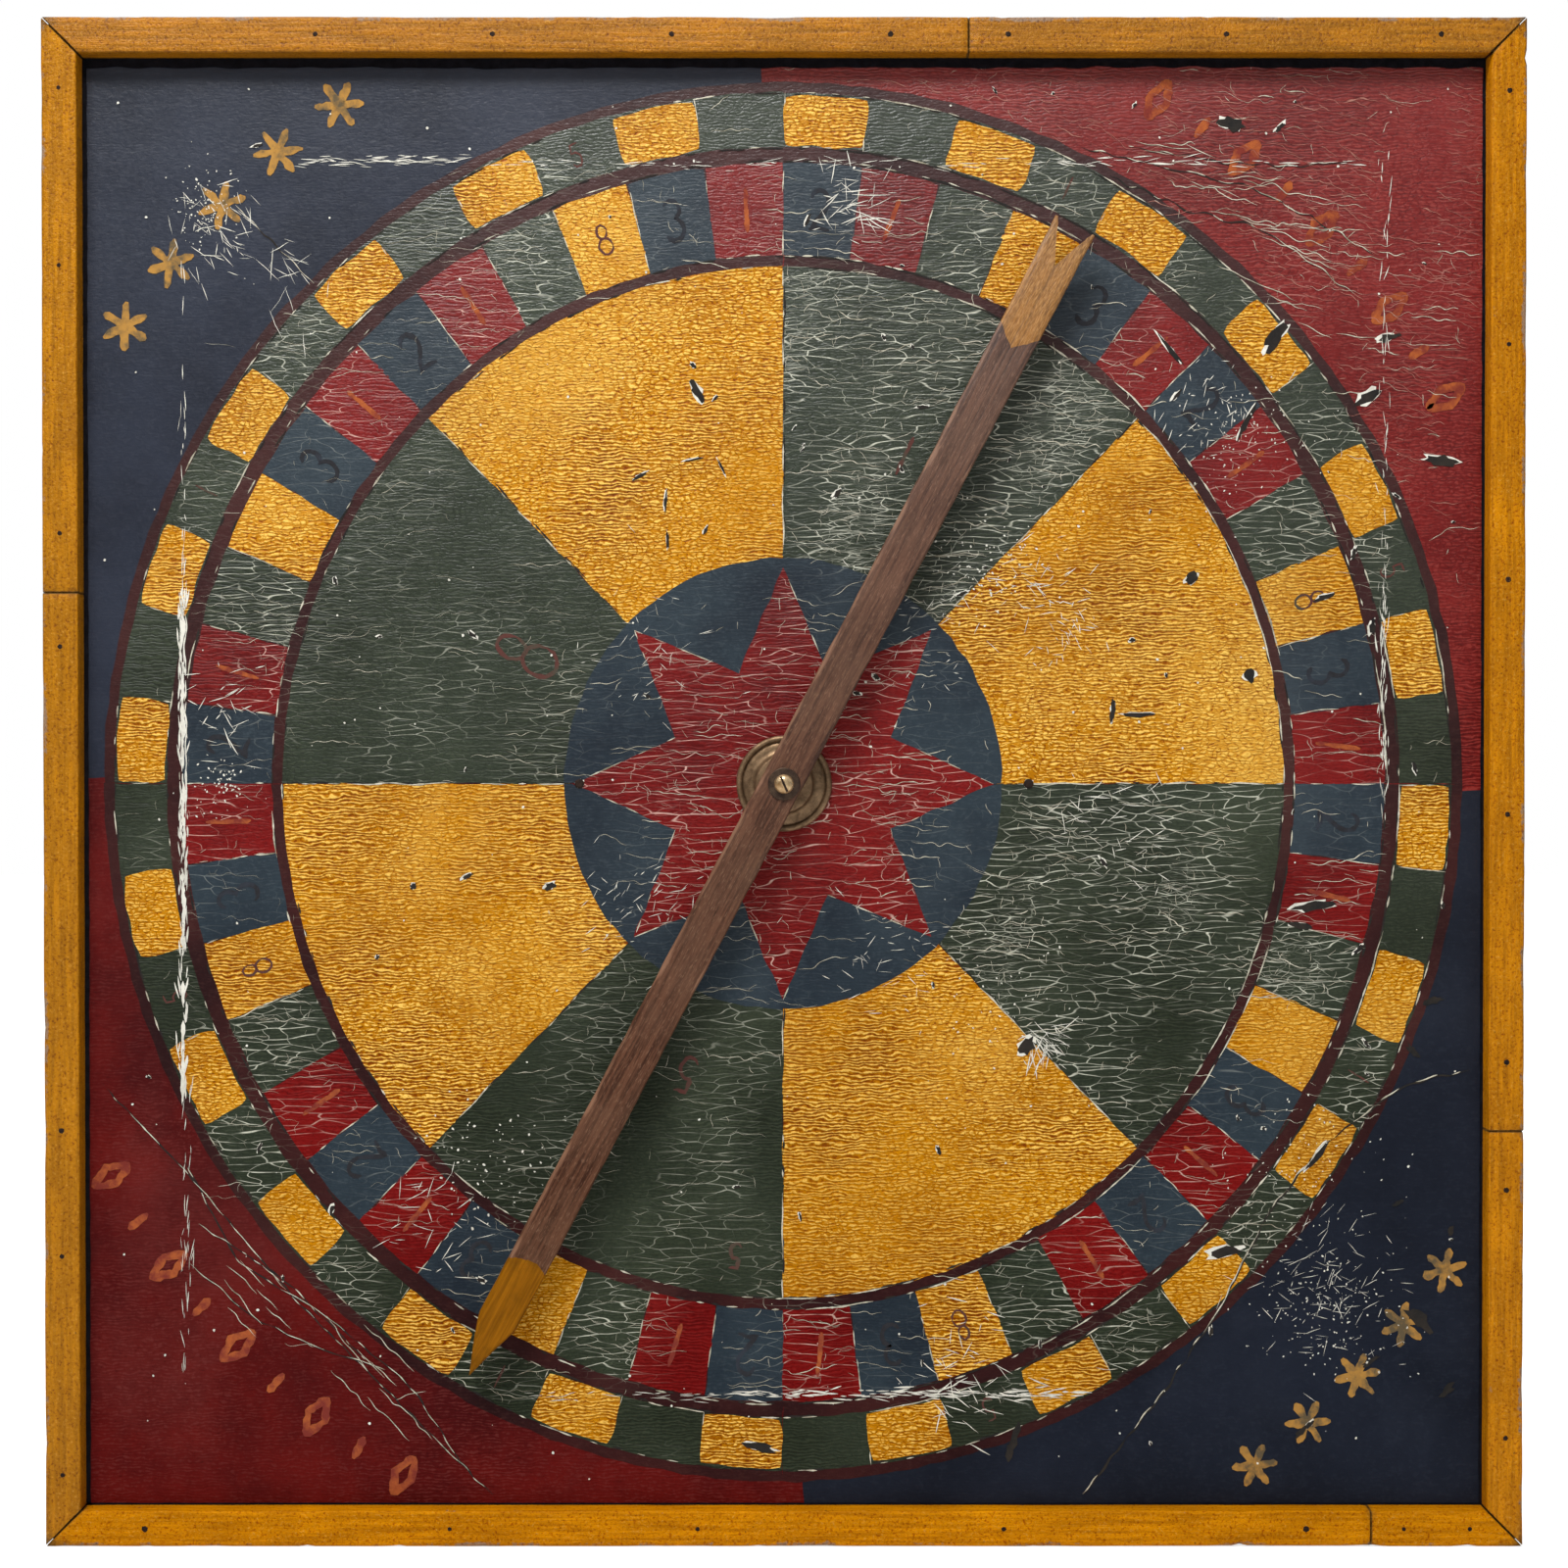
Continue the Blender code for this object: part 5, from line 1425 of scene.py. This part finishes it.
def make_arrow():
    """The hand-whittled slat: V notch in its tail, spear point, and a two-sided loft in its own frame."""
    length_point = ARROW_TIP.length
    y = np.concatenate([np.linspace(-ARROW_TAIL, -ARROW_TAIL + ARROW_NOTCH, 16)[:-1],
                        np.linspace(-ARROW_TAIL + ARROW_NOTCH, ARROW_SHOULDER, 150)[:-1],
                        np.linspace(ARROW_SHOULDER, length_point, 22)])

    def wander(length, seed):
        return waves(y, y * 0, length, seed)

    toward_tail = np.clip(-y / ARROW_TAIL, 0, 1)
    left = ARROW_MIDDLE + ARROW_HALF * (0.93 + 0.10 * toward_tail)
    right = ARROW_MIDDLE - ARROW_HALF * (0.97 + 0.02 * toward_tail)
    share = np.clip((y - ARROW_SHOULDER) / (length_point - ARROW_SHOULDER), 0, 1)
    middle = (left + right) / 2 + 0.0002 * wander(0.03, 301)
    left = middle + (left - middle) * (1 - share ** 1.15) + 0.00018 * wander(0.020, 302) * (1 - share)
    right = middle + (right - middle) * (1 - share ** 0.95) + 0.00018 * wander(0.020, 303) * (1 - share)
    notch = np.clip((ARROW_TAIL - ARROW_NOTCH + y) / -ARROW_NOTCH, 0, 1)
    ragged = 0.0004 * wander(0.004, 304) * (notch > 0.05)
    thick = ARROW_THICK * (1 - 0.42 * share ** 1.6)
    pieces = []
    for sign, outer in ((1.0, left), (-1.0, right)):
        inner = middle + (outer - middle) * np.clip(notch * 0.86 + ragged * 40 * notch, 0, 0.93)
        edge = np.minimum(0.0011, np.abs(outer - inner) * 0.4)
        rows = []
        for i in range(len(y)):
            a, b, e, h = inner[i], outer[i], edge[i], thick[i]
            bevel = 0.0016 * math.exp(-((y[i] - ARROW_SHOULDER) / 0.012) ** 2) * (sign > 0)
            top = [(a + (b - sign * (e + bevel) - a) * f, h) for f in (0.0, 0.34, 0.67, 1.0)]
            top += [(b - sign * (e * 0.35 + bevel * 0.5), h - e * 0.30 - bevel * 0.4),
                    (b, h - e - bevel)]
            low = [(b, 0.0006), (b - sign * 0.0006, 0.0), (a, 0.0)]
            rows.append(top + low)
        section = np.array(rows)
        lift = ARROW_BACK + section[:, :, 1]
        along = np.broadcast_to(y[:, None], lift.shape)
        across, height = section[:, :, 0], section[:, :, 1]
        lift = lift + 0.00007 * waves(along * 0.25, across, 0.006, 305) * (height > 0.002)
        pieces.append(np.stack([across, along, lift], axis=-1))
    verts, faces, wear = [], [], []
    for sign, points in zip((1.0, -1.0), pieces):
        start = len(verts)
        rows, count = points.shape[:2]
        verts += list(points.reshape(-1, 3))
        faces += tube_faces(rows, count, start)
        faces.append(tuple(range(start, start + count)))
        faces.append(tuple(range(start + (rows - 1) * count, start + rows * count))[::-1])
        amount = np.zeros((rows, count))
        amount[:, 3:6] = (0.75 if sign > 0 else 0.45) + 0.35 * wander(0.03, 306)[:, None]
        wear += list(amount.ravel())
    mesh = bpy.data.meshes.new("arrow_whittled")
    mesh.from_pydata([tuple(v) for v in verts], [], faces)
    obj = bpy.data.objects.new("arrow_whittled", mesh)
    bpy.context.scene.collection.objects.link(obj)
    mesh.materials.append(ARROW_PAINT)
    set_attribute(obj, "wear", wear)
    mesh.shade_smooth()
    fix_normals(obj)
    mesh.set_sharp_from_angle(angle=math.radians(42))
    obj.matrix_world = Matrix.Rotation(math.pi / 2, 4, "X") @ Matrix.Rotation(ARROW_TURN, 4, "Z")
    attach(obj, "spinner")
    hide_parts("arrow")


def finish_cad_pieces():
    """Wood, metal and softened edges for the pieces that keep their CAD shape."""
    for name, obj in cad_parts.items():
        look = None
        if name.startswith("stile"):
            look = PINE_UPRIGHT
        elif name.startswith("rail") or name == "pivot_rail":
            look = PINE_LEVEL
        elif name.startswith(("lap_nail", "canvas_nail", "hanging_eye")):
            look = RUST
        elif name in ("hub_sleeve", "lower_washer", "arrow_eyelet"):
            look = HUB_BRASS
        if look is None:
            continue
        for slot in obj.material_slots:
            slot.link = "OBJECT"
            slot.material = look
        if look in (PINE_UPRIGHT, PINE_LEVEL):
            soften(obj, 0.0007, 3, 50)


# ---------------------------------------------------------------- stage, light and camera

# The sky's strength at the horizon and overhead, and how far the floor glows to the camera.
LOW_LIGHT = 0.05
HIGH_LIGHT = 0.60
FLOOR_GLOW = 0.72
VIEW_DISTANCE = 1.5
SEEN_WIDTH = 0.8325
LOOK_DOWN = math.radians(0.7)


def make_stage():
    """A pale floor under the board, and a white sky that is brighter overhead."""
    floor_level = cad_low.z - 0.0004
    bpy.ops.mesh.primitive_plane_add(size=16.0, location=(0.0, 0.0, floor_level))
    floor = bpy.context.object
    floor.name = "floor"
    n = Nodes("floor_pale", 0.9, specular=0.1)
    soft = n.noise(n.coords(), 3.0, 2.0)
    n.shader.inputs["Emission Color"].default_value = grey(1.0)
    glow = n.times(n.node("LightPath").outputs["Is Camera Ray"], FLOOR_GLOW)
    n.link(glow, n.shader.inputs["Emission Strength"])
    floor.data.materials.append(n.finish(n.mix(soft, grey(0.86), grey(0.90))))

    world = bpy.data.worlds.new("studio")
    bpy.context.scene.world = world
    world.use_nodes = True
    tree = world.node_tree
    background = tree.nodes["Background"]
    background.inputs["Color"].default_value = (1.0, 1.0, 1.0, 1.0)
    seen = tree.nodes.new("ShaderNodeLightPath")
    direction = tree.nodes.new("ShaderNodeTexCoord")
    parts = tree.nodes.new("ShaderNodeSeparateXYZ")
    tree.links.new(direction.outputs["Generated"], parts.inputs[0])
    height = tree.nodes.new("ShaderNodeMapRange")
    height.inputs["From Min"].default_value = 0.0
    height.inputs["From Max"].default_value = 0.9
    height.inputs["To Min"].default_value = LOW_LIGHT
    height.inputs["To Max"].default_value = HIGH_LIGHT
    tree.links.new(parts.outputs["Z"], height.inputs["Value"])
    level = tree.nodes.new("ShaderNodeMix")
    tree.links.new(seen.outputs["Is Camera Ray"], level.inputs["Factor"])
    tree.links.new(height.outputs["Result"], level.inputs["A"])
    level.inputs["B"].default_value = 1.0
    tree.links.new(level.outputs["Result"], background.inputs["Strength"])


def area_light(name, place, target, size, power):
    data = bpy.data.lights.new(name, "AREA")
    data.shape = "RECTANGLE"
    data.size, data.size_y = size
    data.energy = power
    obj = bpy.data.objects.new(name, data)
    bpy.context.scene.collection.objects.link(obj)
    obj.location = place
    obj.rotation_euler = (Vector(target) - Vector(place)).to_track_quat("-Z", "Y").to_euler()


def make_light_and_camera():
    """A soft key from above left, and a camera straight in front, looking down by less than a degree."""
    area_light("key", (-0.50, -1.15, 1.70), (0.0, 0.0, 0.05), (1.0, 0.45), 44.0)
    area_light("fill", (0.3, -2.6, 0.2), (0.0, 0.0, 0.0), (2.4, 1.6), 3.0)
    area_light("back_fill", (0.6, 2.4, 1.6), (0.0, 0.0, 0.0), (2.0, 1.4), 26.0)
    data = bpy.data.cameras.new("camera")
    data.sensor_width = 36.0
    data.lens = data.sensor_width * VIEW_DISTANCE / SEEN_WIDTH
    camera = bpy.data.objects.new("camera", data)
    bpy.context.scene.collection.objects.link(camera)
    back = VIEW_DISTANCE * math.cos(LOOK_DOWN)
    camera.location = (0.0, -STRIP_OUT - back, VIEW_DISTANCE * math.sin(LOOK_DOWN))
    aim = Vector((0.0, -STRIP_OUT, 0.0)) - camera.location
    camera.rotation_euler = aim.to_track_quat("-Z", "Y").to_euler()
    data.clip_start = 0.01
    data.clip_end = 60.0
    bpy.context.scene.camera = camera
    bpy.context.scene.view_settings.view_transform = "Standard"


make_light_and_camera()
make_stage()
cloth = make_cloth()
fields = make_fields()
make_dial()
make_numerals()
make_corner_marks()
make_cracks()
make_chipped_edges()
make_fine_cracks()
make_long_cracks()
make_scuffs()
make_spots()
make_edge_grime()
make_frame()
make_hub()
make_arrow()
finish_cad_pieces()
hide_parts("canvas")
